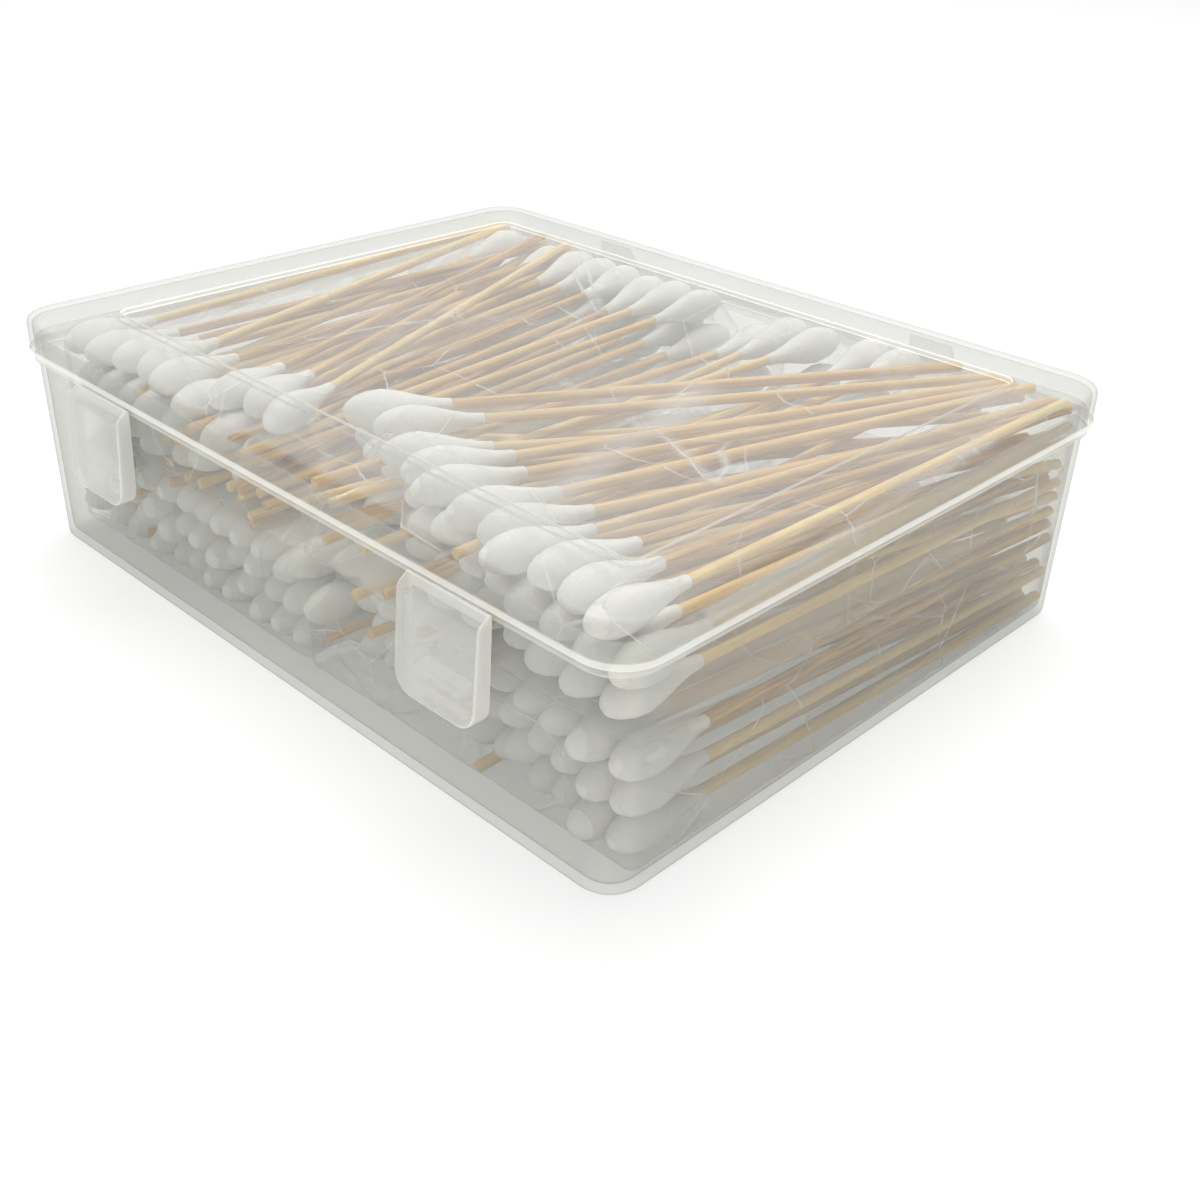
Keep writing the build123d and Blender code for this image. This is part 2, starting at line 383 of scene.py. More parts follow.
@dataclass(frozen=True)
class CastFilm:
    """Clear polypropylene film, creased in packing: nearly invisible, with white fold lines that are
    painted highlights for the glints along its creases.
    """

    name: str = "cast_polypropylene_film"
    crease_cell: float = 26 * MM
    crease_width: float = 0.30 * MM
    crease_glint: float = 0.45
    fold_haze_and_glint: float = 0.4
    base_haze: float = 0.005
    gloss_share: float = 0.35
    patch: float = 30 * MM
    crumple: float = 1.5 * MM

    def build(self) -> bpy.types.Material:
        """Paints highlight lines for the creases' glints at a crumpled cell pattern's edges, over clear
        film with sharp gloss.
        """
        material, tree, output = new_material(self.name)
        place = add_node(tree, "ShaderNodeTexCoord")
        warp = add_node(tree, "ShaderNodeTexNoise",
                        inputs={"Vector": place.outputs["Object"], "Scale": 1 / (40 * MM),
                                "Detail": 1.0})
        shift = add_node(tree, "ShaderNodeVectorMath", {"operation": "MULTIPLY_ADD"},
                         {0: warp.outputs["Color"], 1: (0.004, 0.004, 0.004),
                          2: place.outputs["Object"]})
        cells = add_node(tree, "ShaderNodeTexVoronoi", {"feature": "DISTANCE_TO_EDGE"},
                         {"Vector": shift.outputs[0], "Scale": 1 / self.crease_cell,
                          "Randomness": 1.0})
        # Painted highlight: white lines along the cell edges stand for the creases' glints.
        highlight_line = add_node(tree, "ShaderNodeMapRange",
                        inputs={"Value": cells.outputs["Distance"], "From Min": 0.0,
                                "From Max": self.crease_width / self.crease_cell,
                                "To Min": 1.0, "To Max": 0.0})
        patch = add_node(tree, "ShaderNodeTexNoise",
                         inputs={"Vector": place.outputs["Object"], "Scale": 1 / self.patch})
        some = add_node(tree, "ShaderNodeMapRange",
                        inputs={"Value": patch.outputs["Fac"], "From Min": 0.42,
                                "From Max": 0.54, "To Max": self.crease_glint})
        painted_crease_glints = add_node(tree, "ShaderNodeMath", {"operation": "MULTIPLY"},
                         {0: highlight_line.outputs["Result"], 1: some.outputs["Result"]})
        # Painted highlight: fold bands and crease ridges turn white here, the bands partly for film
        # lying double.
        fold = add_node(tree, "ShaderNodeAttribute", {"attribute_name": "fold"})
        facets = add_node(tree, "ShaderNodeTexVoronoi",
                          inputs={"Vector": shift.outputs[0], "Scale": 1 / self.crease_cell,
                                  "Randomness": 1.0})
        crumple = add_node(tree, "ShaderNodeBump",
                           inputs={"Height": facets.outputs["Distance"], "Strength": 0.8,
                                   "Distance": self.crumple})
        film = add_node(tree, "ShaderNodeBsdfPrincipled",
                        inputs={"Base Color": linear("#F0F0EF"), "Roughness": 0.10, "IOR": 1.49,
                                "Specular IOR Level": 1.0, "Normal": crumple.outputs["Normal"]})
        clear = add_node(tree, "ShaderNodeBsdfTransparent",
                         inputs={"Color": linear("#FEFEFE")})
        gloss = add_node(tree, "ShaderNodeFresnel",
                         inputs={"IOR": 1.49, "Normal": crumple.outputs["Normal"]})
        dim = add_node(tree, "ShaderNodeMath", {"operation": "MULTIPLY"},
                       {0: gloss.outputs[0], 1: self.gloss_share})
        base = add_node(tree, "ShaderNodeMath", {"operation": "MULTIPLY_ADD"},
                        {0: fold.outputs["Fac"], 1: self.fold_haze_and_glint, 2: dim.outputs[0]})
        haze = add_node(tree, "ShaderNodeMath", {"operation": "ADD"},
                        {0: base.outputs[0], 1: self.base_haze})
        share = add_node(tree, "ShaderNodeMath", {"operation": "ADD", "use_clamp": True},
                         {0: haze.outputs[0], 1: painted_crease_glints.outputs[0]})
        mix = add_node(tree, "ShaderNodeMixShader",
                       inputs={0: share.outputs[0], 1: clear.outputs[0], 2: film.outputs[0]})
        tree.links.new(mix.outputs[0], output.inputs["Surface"])
        return material


@dataclass(frozen=True)
class CottonWool:
    """Bleached cotton wound on wet and dried: matt white with short wrapped fibres."""

    name: str = "wound_cotton_wool"
    white: str = "#F1F0ED"
    shade: str = "#DCDAD5"
    fibre: float = 0.7 * MM

    def build(self) -> bpy.types.Material:
        """Wraps stretched noise round each cotton end as fibres."""
        material, tree, output = new_material(self.name)
        place = add_node(tree, "ShaderNodeAttribute", {"attribute_name": "local"})
        wrap = add_node(tree, "ShaderNodeMapping", inputs={"Vector": place.outputs["Vector"],
                                                           "Scale": (0.5, 1.6, 0.5)})
        tone = add_node(tree, "ShaderNodeAttribute", {"attribute_name": "tone"})
        seed = add_node(tree, "ShaderNodeMath", {"operation": "MULTIPLY"},
                        {0: tone.outputs["Fac"], 1: 40.0})
        fibres = add_node(tree, "ShaderNodeTexNoise", {"noise_dimensions": "4D"},
                          {"Vector": wrap.outputs[0], "W": seed.outputs[0],
                           "Scale": 1 / self.fibre, "Detail": 2.0, "Roughness": 0.65,
                           "Distortion": 0.6})
        colour = add_node(tree, "ShaderNodeMix", {"data_type": "RGBA"},
                          {0: fibres.outputs["Fac"], 6: linear(self.shade), 7: linear(self.white)})
        relief = add_node(tree, "ShaderNodeBump",
                          inputs={"Height": fibres.outputs["Fac"], "Strength": 0.55,
                                  "Distance": 0.35 * MM})
        cotton = add_node(tree, "ShaderNodeBsdfPrincipled",
                          inputs={"Base Color": colour.outputs[2], "Roughness": 0.95,
                                  "IOR": 1.5, "Specular IOR Level": 0.2, "Sheen Weight": 0.25,
                                  "Sheen Roughness": 0.6, "Normal": relief.outputs["Normal"]})
        tree.links.new(cotton.outputs[0], output.inputs["Surface"])
        return material


@dataclass(frozen=True)
class TurnedBirch:
    """Birch dowel, dry and unvarnished: pale straw with fine lengthwise grain."""

    name: str = "turned_birch"
    pale: str = "#EDD08F"
    straw: str = "#D9AA58"
    brown: str = "#96682A"
    grain: float = 0.6 * MM

    def build(self) -> bpy.types.Material:
        """Stretches grain along each stick and gives every stick its own tone."""
        material, tree, output = new_material(self.name)
        place = add_node(tree, "ShaderNodeAttribute", {"attribute_name": "local"})
        along = add_node(tree, "ShaderNodeMapping", inputs={"Vector": place.outputs["Vector"],
                                                            "Scale": (1.0, 0.03, 1.0)})
        tone = add_node(tree, "ShaderNodeAttribute", {"attribute_name": "tone"})
        seed = add_node(tree, "ShaderNodeMath", {"operation": "MULTIPLY"},
                        {0: tone.outputs["Fac"], 1: 60.0})
        grain = add_node(tree, "ShaderNodeTexNoise", {"noise_dimensions": "4D"},
                         {"Vector": along.outputs[0], "W": seed.outputs[0],
                          "Scale": 1 / self.grain, "Detail": 2.0, "Roughness": 0.6})
        blend = add_node(tree, "ShaderNodeMath", {"operation": "MULTIPLY_ADD"},
                         {0: tone.outputs["Fac"], 1: 0.45, 2: grain.outputs["Fac"]})
        ramp = add_node(tree, "ShaderNodeValToRGB", inputs={0: blend.outputs[0]})
        stops = ramp.color_ramp.elements
        stops[0].position, stops[0].color = 0.35, linear(self.brown)
        stops[1].position, stops[1].color = 1.0, linear(self.pale)
        middle = stops.new(0.62)
        middle.color = linear(self.straw)
        relief = add_node(tree, "ShaderNodeBump",
                          inputs={"Height": grain.outputs["Fac"], "Strength": 0.3,
                                  "Distance": 0.15 * MM})
        wood = add_node(tree, "ShaderNodeBsdfPrincipled",
                        inputs={"Base Color": ramp.outputs[0], "Roughness": 0.6, "IOR": 1.5,
                                "Specular IOR Level": 0.35, "Normal": relief.outputs["Normal"]})
        tree.links.new(wood.outputs[0], output.inputs["Surface"])
        return material


# ---- tub -----------------------------------------------------------------------------------
@dataclass
class Tub:
    """Thin-walled tub with a stop ledge, latch catches and bearing ears, moulded in one."""

    wall: float = 1.2 * MM
    draft: float = 0.6 * MM
    corner: float = 8.0 * MM
    base_round: float = 1.5 * MM
    floor_round: float = 2.2 * MM
    ledge_reach: float = 1.0 * MM
    ledge_top: float = 50.15 * MM
    ledge_height: float = 1.6 * MM
    # Painted highlight on the stop ledge's rounds.
    ledge_gleam: float = 0.5
    lip: float = 0.35 * MM
    catch_height: float = 34.0 * MM
    catch_reach: float = 1.3 * MM
    catch_thick: float = 2.6 * MM
    catch_width: float = 14.0 * MM
    ear_thickness: float = 3.2 * MM
    ear_radius: float = 3.0 * MM
    ear_depth: float = 9.0 * MM
    ear_spread: float = 8.0 * MM
    hinge_offset: float = 55.0 * MM
    bore_radius: float = 1.48 * MM
    half_length: float = field(init=False)
    half_width: float = field(init=False)
    rim: float = field(init=False)

    def __post_init__(self) -> None:
        """Reads the overall sizes from the frame."""
        low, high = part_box("tub")
        self.half_length = high.x - self.ledge_reach
        self.half_width = -low.y - self.ledge_reach
        self.rim = high.z

    def lean(self, z: float) -> float:
        """How far the wall has leaned in at a height."""
        return self.draft * (self.rim - z) / self.rim

    def ring(self, outset: float, z: float) -> Ring:
        """Level of the shell that stands outset outside the wall's outer face."""
        reach = outset - self.lean(z)
        # The ledge's outer rounds get painted highlight.
        gleam = self.ledge_gleam if outset > self.ledge_reach * 0.6 else 0.0
        return Ring(2 * (self.half_length + reach), 2 * (self.half_width + reach),
                    self.corner + outset, z, gleam=gleam)

    def section(self) -> list[tuple[float, float]]:
        """Section of the wall, from the base, up the outside and down the inside."""
        foot, lip, wall = self.base_round, self.lip, self.wall
        out, low, high = self.ledge_reach, self.ledge_top - self.ledge_height, self.ledge_top
        inside = self.floor_round
        return [
            *arc((-foot, foot), foot, -90, 0),
            (0, low - lip), (lip / 3, low),
            *arc((out - lip, low + lip), lip, -90, 0, 3),
            *arc((out - lip, high - lip), lip, 0, 90, 3),
            (lip / 3, high), (0, high + lip),
            *arc((-lip, self.rim - lip), lip, 0, 90, 3),
            *arc((lip - wall, self.rim - lip), lip, 90, 180, 3),
            *arc((-wall - inside, wall + inside), inside, 0, -90, 6),
        ]

    def ear(self, centre_x: float, axis_y: float, axis_z: float) -> bpy.types.Mesh:
        """Bearing ear on the rear wall, with its bore."""
        root_y = self.half_width - self.draft - self.wall / 2
        rim = arc((axis_y, axis_z), self.ear_radius, 90, -45, 12)
        outline = [(root_y, axis_z - self.ear_depth), (root_y, axis_z + self.ear_radius), *rim]
        bore = arc((axis_y, axis_z), self.bore_radius, 0, 345, 23)
        return slab([outline[::-1], bore], centre_x, self.ear_thickness, 0.3 * MM)

    def catch(self, centre_x: float) -> bpy.types.Mesh:
        """Wedge on the front wall that a latch snaps under."""
        face = -self.half_width + self.lean(self.catch_height)
        root, tip, z = face + self.wall / 2, face - self.catch_reach, self.catch_height
        outline = [(root, z), (root, z + self.catch_thick), (tip, z + 0.6 * MM), (tip, z)]
        return slab([outline], centre_x, self.catch_width, 0.15 * MM)

    def build(self, finish: bpy.types.Material, latch_offset: float,
              axis: Sequence[float]) -> bpy.types.Object:
        """Moulds the tub and dresses it.

        Args:
            finish: The plastic.
            latch_offset: Latch centres from the middle.
            axis: A point on the lid's hinge axis.

        Returns:
            The finished tub.
        """
        parts = [loft([self.ring(outset, z) for outset, z in self.section()])]
        for hand in Hand:
            parts.append(self.catch(hand.value * latch_offset))
            for flank in Hand:
                centre = hand.value * self.hinge_offset + flank.value * self.ear_spread
                parts.append(self.ear(centre, axis[1], axis[2]))
        tub = link_object("tub_shell", joined(parts), finish)
        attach(tub, "tub")
        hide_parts("tub")
        return tub


# ---- lid -----------------------------------------------------------------------------------
@dataclass
class Lid:
    """Lid with a sunken panel, a beaded skirt and two hinge tongues, moulded in one."""

    wall: float = 1.1 * MM
    corner: float = 9.6 * MM
    top_round: float = 1.8 * MM
    skirt_edge: float = 50.5 * MM
    bead: float = 0.3 * MM
    bead_height: float = 1.5 * MM
    panel_length: float = 175.0 * MM
    panel_width: float = 130.0 * MM
    panel_shift: float = 2.0 * MM
    panel_corner: float = 3.0 * MM
    panel_sink: float = 1.2 * MM
    step_round: float = 0.5 * MM
    tongue_width: float = 12.0 * MM
    tongue_rise: float = 6.5 * MM
    knuckle_radius: float = 2.1 * MM
    trunnion_radius: float = 1.4 * MM
    trunnion_span: float = 19.2 * MM
    hinge_offset: float = 55.0 * MM
    half_length: float = field(init=False)
    half_width: float = field(init=False)
    top: float = field(init=False)

    def __post_init__(self) -> None:
        """Reads the overall sizes from the frame."""
        low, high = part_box("lid")
        self.half_length, self.half_width, self.top = high.x, -low.y, high.z

    def ring(self, outset: float, z: float) -> Ring:
        """Level of the border or skirt, outset outside the skirt's face."""
        # The bead, standing out past the skirt, gets painted highlight.
        return Ring(2 * (self.half_length + outset), 2 * (self.half_width + outset),
                    self.corner + outset, z, gleam=float(outset > 0))

    def panel_ring(self, outset: float, z: float) -> Ring:
        """Level of the sunken panel, outset outside its edge."""
        # The panel's step rounds get painted highlight.
        gleam = float(abs(outset) < 0.8 * self.step_round)
        return Ring(self.panel_length + 2 * outset, self.panel_width + 2 * outset,
                    self.panel_corner + outset, z, self.panel_shift, gleam)

    def shell(self) -> bpy.types.Mesh:
        """Panel, border and skirt as one closed shell."""
        top, low, bend = self.top, self.skirt_edge, self.step_round
        floor, wall, bead, lip = top - self.panel_sink, self.wall, self.bead, 0.4 * MM
        inner = self.top_round - wall * 0.5
        upper = [*arc((-bend, floor + bend), bend, -90, -8, 4),
                 *arc((bend, top - bend), bend, 172, 90, 4)]
        skirt = [
            *arc((-self.top_round, top - self.top_round), self.top_round, 90, 0, 8),
            (0, low + self.bead_height + bead), (bead, low + self.bead_height),
            *arc((bead - lip, low + lip), lip, 0, -90, 4),
            *arc((lip - wall, low + lip), lip, -90, -180, 3),
            *arc((-wall - inner, top - wall - inner), inner, 0, 90, 6),
        ]
        under = [*arc((wall + bend, top - wall - bend), bend, 90, 172, 4),
                 *arc((wall - bend, floor - wall + bend), bend, -8, -90, 4)]
        rings = [self.panel_ring(*p) for p in upper] + [self.ring(*p) for p in skirt]
        return loft(rings + [self.panel_ring(*p) for p in under])

    def tongue(self, centre_x: float, axis_y: float, axis_z: float) -> list[bpy.types.Mesh]:
        """Tongue on the rear skirt, with its knuckle and trunnions."""
        rear, edge = self.half_width, self.skirt_edge
        knuckle = arc((axis_y, axis_z), self.knuckle_radius, 180, 360, 14)
        outline = [*knuckle, (axis_y + self.knuckle_radius, edge), (rear, edge + self.tongue_rise),
                   (rear - self.wall / 2, edge + self.tongue_rise), (rear - self.wall / 2, edge),
                   (rear, edge)]
        pin = arc((axis_y, axis_z), self.trunnion_radius, 0, 345, 23)
        return [slab([outline], centre_x, self.tongue_width, 0.25 * MM),
                slab([pin], centre_x, self.trunnion_span, 0.2 * MM)]

    def build(self, finish: bpy.types.Material, axis: Sequence[float]) -> bpy.types.Object:
        """Moulds the lid and dresses it.

        Args:
            finish: The plastic.
            axis: A point on the lid's hinge axis.

        Returns:
            The finished lid.
        """
        parts = [self.shell()]
        for hand in Hand:
            parts += self.tongue(hand.value * self.hinge_offset, axis[1], axis[2])
        lid = link_object("lid_shell", joined(parts), finish)
        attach(lid, "lid")
        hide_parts("lid")
        return lid


# ---- latches -------------------------------------------------------------------------------
@dataclass(frozen=True)
class TrayLevel:
    """One level of the latch's tray: an outline drawn inwards, at some depth."""

    inset: float
    top: float
    face: Face
    shift: float
    # Whether this level gets painted highlight.
    gleams: bool = False


@dataclass
class Latch:
    """Snap latch hung from the lid's skirt on a thin web."""

    hand: Hand
    width: float = 23.0 * MM
    drop: float = 23.4 * MM
    wall: float = 1.0 * MM
    corner: float = 5.0 * MM
    barrel: float = 0.45 * MM
    knee_out: float = 2.9 * MM
    knee_drop: float = 1.3 * MM
    flare: float = 1.7 * MM
    flange_top: float = 2.6 * MM
    flange_gap: float = 1.6 * MM
    edge_round: float = 0.25 * MM
    bead_height: float = 33.55 * MM
    bead_thick: float = 1.6 * MM
    bead_gap: float = 0.45 * MM
    bead_share: float = 0.6
    inner_round: float = 0.6 * MM
    shoulder_round: float = 0.35 * MM
    # Painted highlight on the tray's rim.
    rim_gleam: float = 0.7
    smooth_angle: float = 50.0
    side_steps: int = 26
    corner_steps: int = 8
    web_width: float = 20.0 * MM
    web_thickness: float = 0.3 * MM
    web_steps: int = 6

    @property
    def node(self) -> str:
        """Name of the latch's node and body."""
        return f"latch_{self.hand.name.lower()}"

    def outline(self, inset: float, top: float, pivot: Vector) -> list[tuple[float, float]]:
        """Front outline, down the right side and up the left, with round lower corners.

        Args:
            inset: How far the outline lies inside the latch's edge.
            top: Height of its upper end above the pivot.
            pivot: Middle of the turning axis.

        Returns:
            X and Z of each point, the same number for any inset.
        """
        half, low = self.width / 2 - inset, pivot.z - self.drop + inset
        bend = max(self.corner - inset, 0.3 * MM)
        high = pivot.z + top
        right = [(half, high + (low + bend - high) * i / self.side_steps)
                 for i in range(self.side_steps)]
        right += arc((half - bend, low + bend), bend, 0, -90, self.corner_steps)
        return [(pivot.x + x, z) for x, z in right] + [(pivot.x - x, z) for x, z in reversed(right)]

    def front(self, z: float, pivot: Vector) -> float:
        """Y of the outer face at a height: barrel, sloped shoulder, then the flared plate."""
        below = pivot.z - z
        plate = self.knee_out + self.flare * (below - self.knee_drop) / self.drop
        slope = self.barrel + (self.knee_out - self.barrel) * (below + self.barrel) / (
            self.knee_drop + self.barrel)
        soft = self.shoulder_round
        blend = min(plate, slope) - soft * math.exp(-abs(plate - slope) / soft) / 2
        return pivot.y - max(self.barrel, blend)

    def back(self, z: float, pivot: Vector, wall_y: float) -> float:
        """Y of the flanges' free edges at a height."""
        below = pivot.z - z
        if below < self.flange_top:
            share = max(0.0, below / self.flange_top)
            return (pivot.y + self.barrel) * (1 - share) + (wall_y - self.flange_gap) * share
        return wall_y - self.flange_gap - self.flare / 2 * (below - self.flange_top) / self.drop

    def levels(self) -> list[TrayLevel]:
        """Levels of the tray, from the middle of its inside, over the rim, to its outer face."""
        lip, wall, top, tuck = self.edge_round, self.wall, self.barrel, -self.flange_top
        fillet, rise = self.inner_round, self.inner_round / 3
        return [
            TrayLevel(wall + fillet, tuck - fillet, Face.FRONT, wall),
            TrayLevel(wall + rise, tuck - rise, Face.FRONT, wall + rise),
            TrayLevel(wall, tuck, Face.FRONT, wall + fillet),
            TrayLevel(wall, tuck, Face.BACK, -lip),
            TrayLevel(wall - lip, tuck + lip, Face.BACK, 0.0, True),
            TrayLevel(lip, top - lip, Face.BACK, 0.0, True),
            TrayLevel(0.0, top, Face.BACK, -lip, True),
            TrayLevel(0.0, top, Face.FRONT, 2.4 * lip, True),
            TrayLevel(0.3 * lip, top - 0.1 * lip, Face.FRONT, 1.1 * lip, True),
            TrayLevel(1.1 * lip, top - 0.2 * lip, Face.FRONT, 0.3 * lip, True),
            TrayLevel(2.4 * lip, top - 0.4 * lip, Face.FRONT, 0.0),
        ]

    def plate(self, pivot: Vector, wall_y: float) -> bpy.types.Mesh:
        """Tray of the latch: plate, shoulder, flanges and rounded edges, as one closed shell.

        Args:
            pivot: Middle of the turning axis.
            wall_y: Front face of the tub.

        Returns:
            The tray's mesh.
        """
        levels = self.levels()
        points: list[tuple[float, float, float]] = []
        for level in levels:
            for x, z in self.outline(level.inset, level.top, pivot):
                near, far = self.front(z, pivot), self.back(z, pivot, wall_y)
                y = (near if level.face is Face.FRONT else far) + level.shift
                points.append((x, min(max(y, near), far), z))
        count = len(points) // len(levels)
        faces = []
        for number in range(len(levels) - 1):
            low, high = number * count, (number + 1) * count
            for i in range(count):
                j = (i + 1) % count
                faces.append([low + i, low + j, high + j, high + i])
        for start in (0, len(points) - count):
            for i in range(count // 2 - 1):
                faces.append([start + i, start + i + 1, start + count - 2 - i, start + count - 1 - i])
        # The rim levels get painted highlight.
        gleams = [self.rim_gleam * level.gleams for level in levels]
        return mark_gleam(mesh_from(points, faces, self.smooth_angle), np.repeat(gleams, count))

    def bead(self, pivot: Vector, wall_y: float, catch: float) -> bpy.types.Mesh:
        """Snap bead across the inside of the plate."""
        top, low = self.bead_height, self.bead_height - self.bead_thick
        root = self.front(top, pivot) + self.wall / 2
        tip = wall_y - catch - self.bead_gap
        outline = [(root, top), (root, low), (tip, top - self.bead_thick / 2), (tip, top)]
        return slab([outline], pivot.x, self.width * self.bead_share, 0.12 * MM)

    def web(self, pivot: Vector, edge: Vector) -> bpy.types.Mesh:
        """Thin bent web from the skirt's edge to the latch's barrel.

        Args:
            pivot: Middle of the latch's turning axis.
            edge: Middle of the skirt's lower front edge.

        Returns:
            The web's mesh.
        """
        half, thick = self.web_width / 2, self.web_thickness / 2
        middle = (pivot + edge) / 2 + Vector((0, -0.15, -0.1)) * MM
        points, faces = [], []
        for i in range(self.web_steps + 1):
            t = i / self.web_steps
            spot = (1 - t) ** 2 * edge + 2 * t * (1 - t) * middle + t * t * pivot
            slope = 2 * (1 - t) * (middle - edge) + 2 * t * (pivot - middle)
            side = Vector((0, -slope.z, slope.y)).normalized() * thick
            for x in (-half, half):
                for way in (-1, 1):
                    points.append(spot + way * side + Vector((x, 0, 0)))
        for i in range(self.web_steps):
            a, b = 4 * i, 4 * (i + 1)
            faces += [[a, a + 2, b + 2, b], [a + 1, a + 3, b + 3, b + 1],
                      [a, a + 1, b + 1, b], [a + 2, a + 3, b + 3, b + 2]]
        last = 4 * self.web_steps
        faces += [[0, 1, 3, 2], [last, last + 1, last + 3, last + 2]]
        return mesh_from(points, faces)

    def build(self, finish: bpy.types.Material, lid: Lid, tub: Tub) -> list[bpy.types.Object]:
        """Makes the latch plate and its web.

        Args:
            finish: The plastic.
            lid: The lid that it hangs from.
            tub: The tub that it snaps to.

        Returns:
            The plate and the web.
        """
        joint = next(j for j in frame["joints"] if j["child"] == self.node)
        pivot = Vector(joint["pos_m"])
        edge = Vector((pivot.x, -lid.half_width + lid.wall / 2, lid.skirt_edge + 0.1 * MM))
        wall_y = -tub.half_width
        tray = [self.plate(pivot, wall_y), self.bead(pivot, wall_y + tub.lean(self.bead_height),
                                                     tub.catch_reach)]
        plate = link_object(f"{self.node}_plate", joined(tray), finish)
        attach(plate, self.node)
        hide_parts(self.node)
        web = link_object(f"{self.node}_web", self.web(pivot, edge), finish)
        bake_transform(web)
        return [plate, web]


# ---- swabs ---------------------------------------------------------------------------------
@dataclass(frozen=True)
class Swab:
    """One swab along +Y: its nose at the origin, cotton first, then the bare stick."""

    length: float = 150.0 * MM
    stick_radius: float = 1.3 * MM
    bud_radius: float = 4.75 * MM
    bud_length: float = 25.0 * MM
    belly: float = 9.0 * MM
    neck: float = 1.5 * MM
    wood_inset: float = 6.0 * MM
    bud_sides: int = 12
    stick_sides: int = 8

    def bud_width(self, s: np.ndarray) -> np.ndarray:
        """Radius of the cotton at a distance from the nose."""
        front = np.sqrt(np.clip(1 - (1 - s / self.belly) ** 2, 0, 1)) * self.bud_radius
        t = np.clip((s - self.belly) / (self.bud_length - self.belly), 0, 1)
        rear = self.neck + (self.bud_radius - self.neck) * (0.5 + 0.5 * np.cos(math.pi * t ** 0.85))
        return np.where(s < self.belly, front, rear)

    def lathe(self, stations: Sequence[tuple[float, float]], sides: int) -> bpy.types.Object:
        """Turns a closed body from stations of distance and radius, and keeps its own places."""
        points, faces = [], []
        for s, radius in stations:
            turn = [math.tau * i / sides for i in range(sides)]
            points += [(radius * math.cos(a), s, radius * math.sin(a)) for a in turn]
        for level in range(len(stations) - 1):
            for i in range(sides):
                j = (i + 1) % sides
                low, high = level * sides, (level + 1) * sides
                faces.append([low + i, low + j, high + j, high + i])
        faces += [list(range(sides)), list(range(len(points) - sides, len(points)))]
        mesh = mesh_from(points, faces, 60)
        local = mesh.attributes.new("local", "FLOAT_VECTOR", "POINT")
        local.data.foreach_set("vector", np.array(points, np.float32).ravel())
        return bpy.data.objects.new("swab_part", mesh)

    def bud(self) -> bpy.types.Object:
        """The cotton end."""
        at = np.array([0.12, 1.0, 3.0, 5.8, 9.0, 13.0, 17.5, 21.5, 24.7]) * MM
        stations = list(zip(at, self.bud_width(at)))
        stations.append((self.bud_length, self.stick_radius * 0.98))
        return self.lathe(stations, self.bud_sides)

    def stick(self) -> bpy.types.Object:
        """The bare wood, with a barely broken edge at its cut end."""
        r, end = self.stick_radius, self.length
        return self.lathe([(self.wood_inset, r), (end * 0.5, r), (end - 0.1 * MM, r),
                           (end, r - 0.1 * MM)], self.stick_sides)


@dataclass(frozen=True)
class Fan:
    """How a family of swabs in one bag lies. Heights are shares of the bag's inside height."""

    heading: Heading
    count: int
    nose_x: tuple[float, float]
    tail_x: tuple[float, float]
    nose_rise: tuple[float, float] = (0.0, 1.0)
    tail_rise: tuple[float, float] = (0.0, 1.0)
    gather: float = 1.0
    scatter: float = 4.0 * MM


@dataclass(frozen=True)
class Fold:
    """A place on top of a bag that looks milky: partly film lying double, partly painted highlight for
    the film's glints.
    """

    start: tuple[float, float]
    end: tuple[float, float]
    width: float
    strength: float = 1.0

    def share(self, points: np.ndarray) -> np.ndarray:
        """How much each point belongs to the fold, from 0 to 1, seen from above."""
        start, run = np.array(self.start), np.array(self.end) - np.array(self.start)
        along = np.clip((points[:, :2] - start) @ run / (run @ run), 0, 1)
        off = np.linalg.norm(points[:, :2] - start - along[:, None] * run, axis=1)
        return self.strength * np.clip(1.6 * (1 - off / self.width), 0, 1)


@dataclass
class Bundle:
    """The swabs of one film bag."""

    name: str
    fans: tuple[Fan, ...]
    folds: tuple[Fold, ...] = ()
    low: Vector = field(init=False)
    high: Vector = field(init=False)

    def __post_init__(self) -> None:
        """Reads the bag's place from the frame."""
        self.low, self.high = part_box(f"bag_{self.name}")


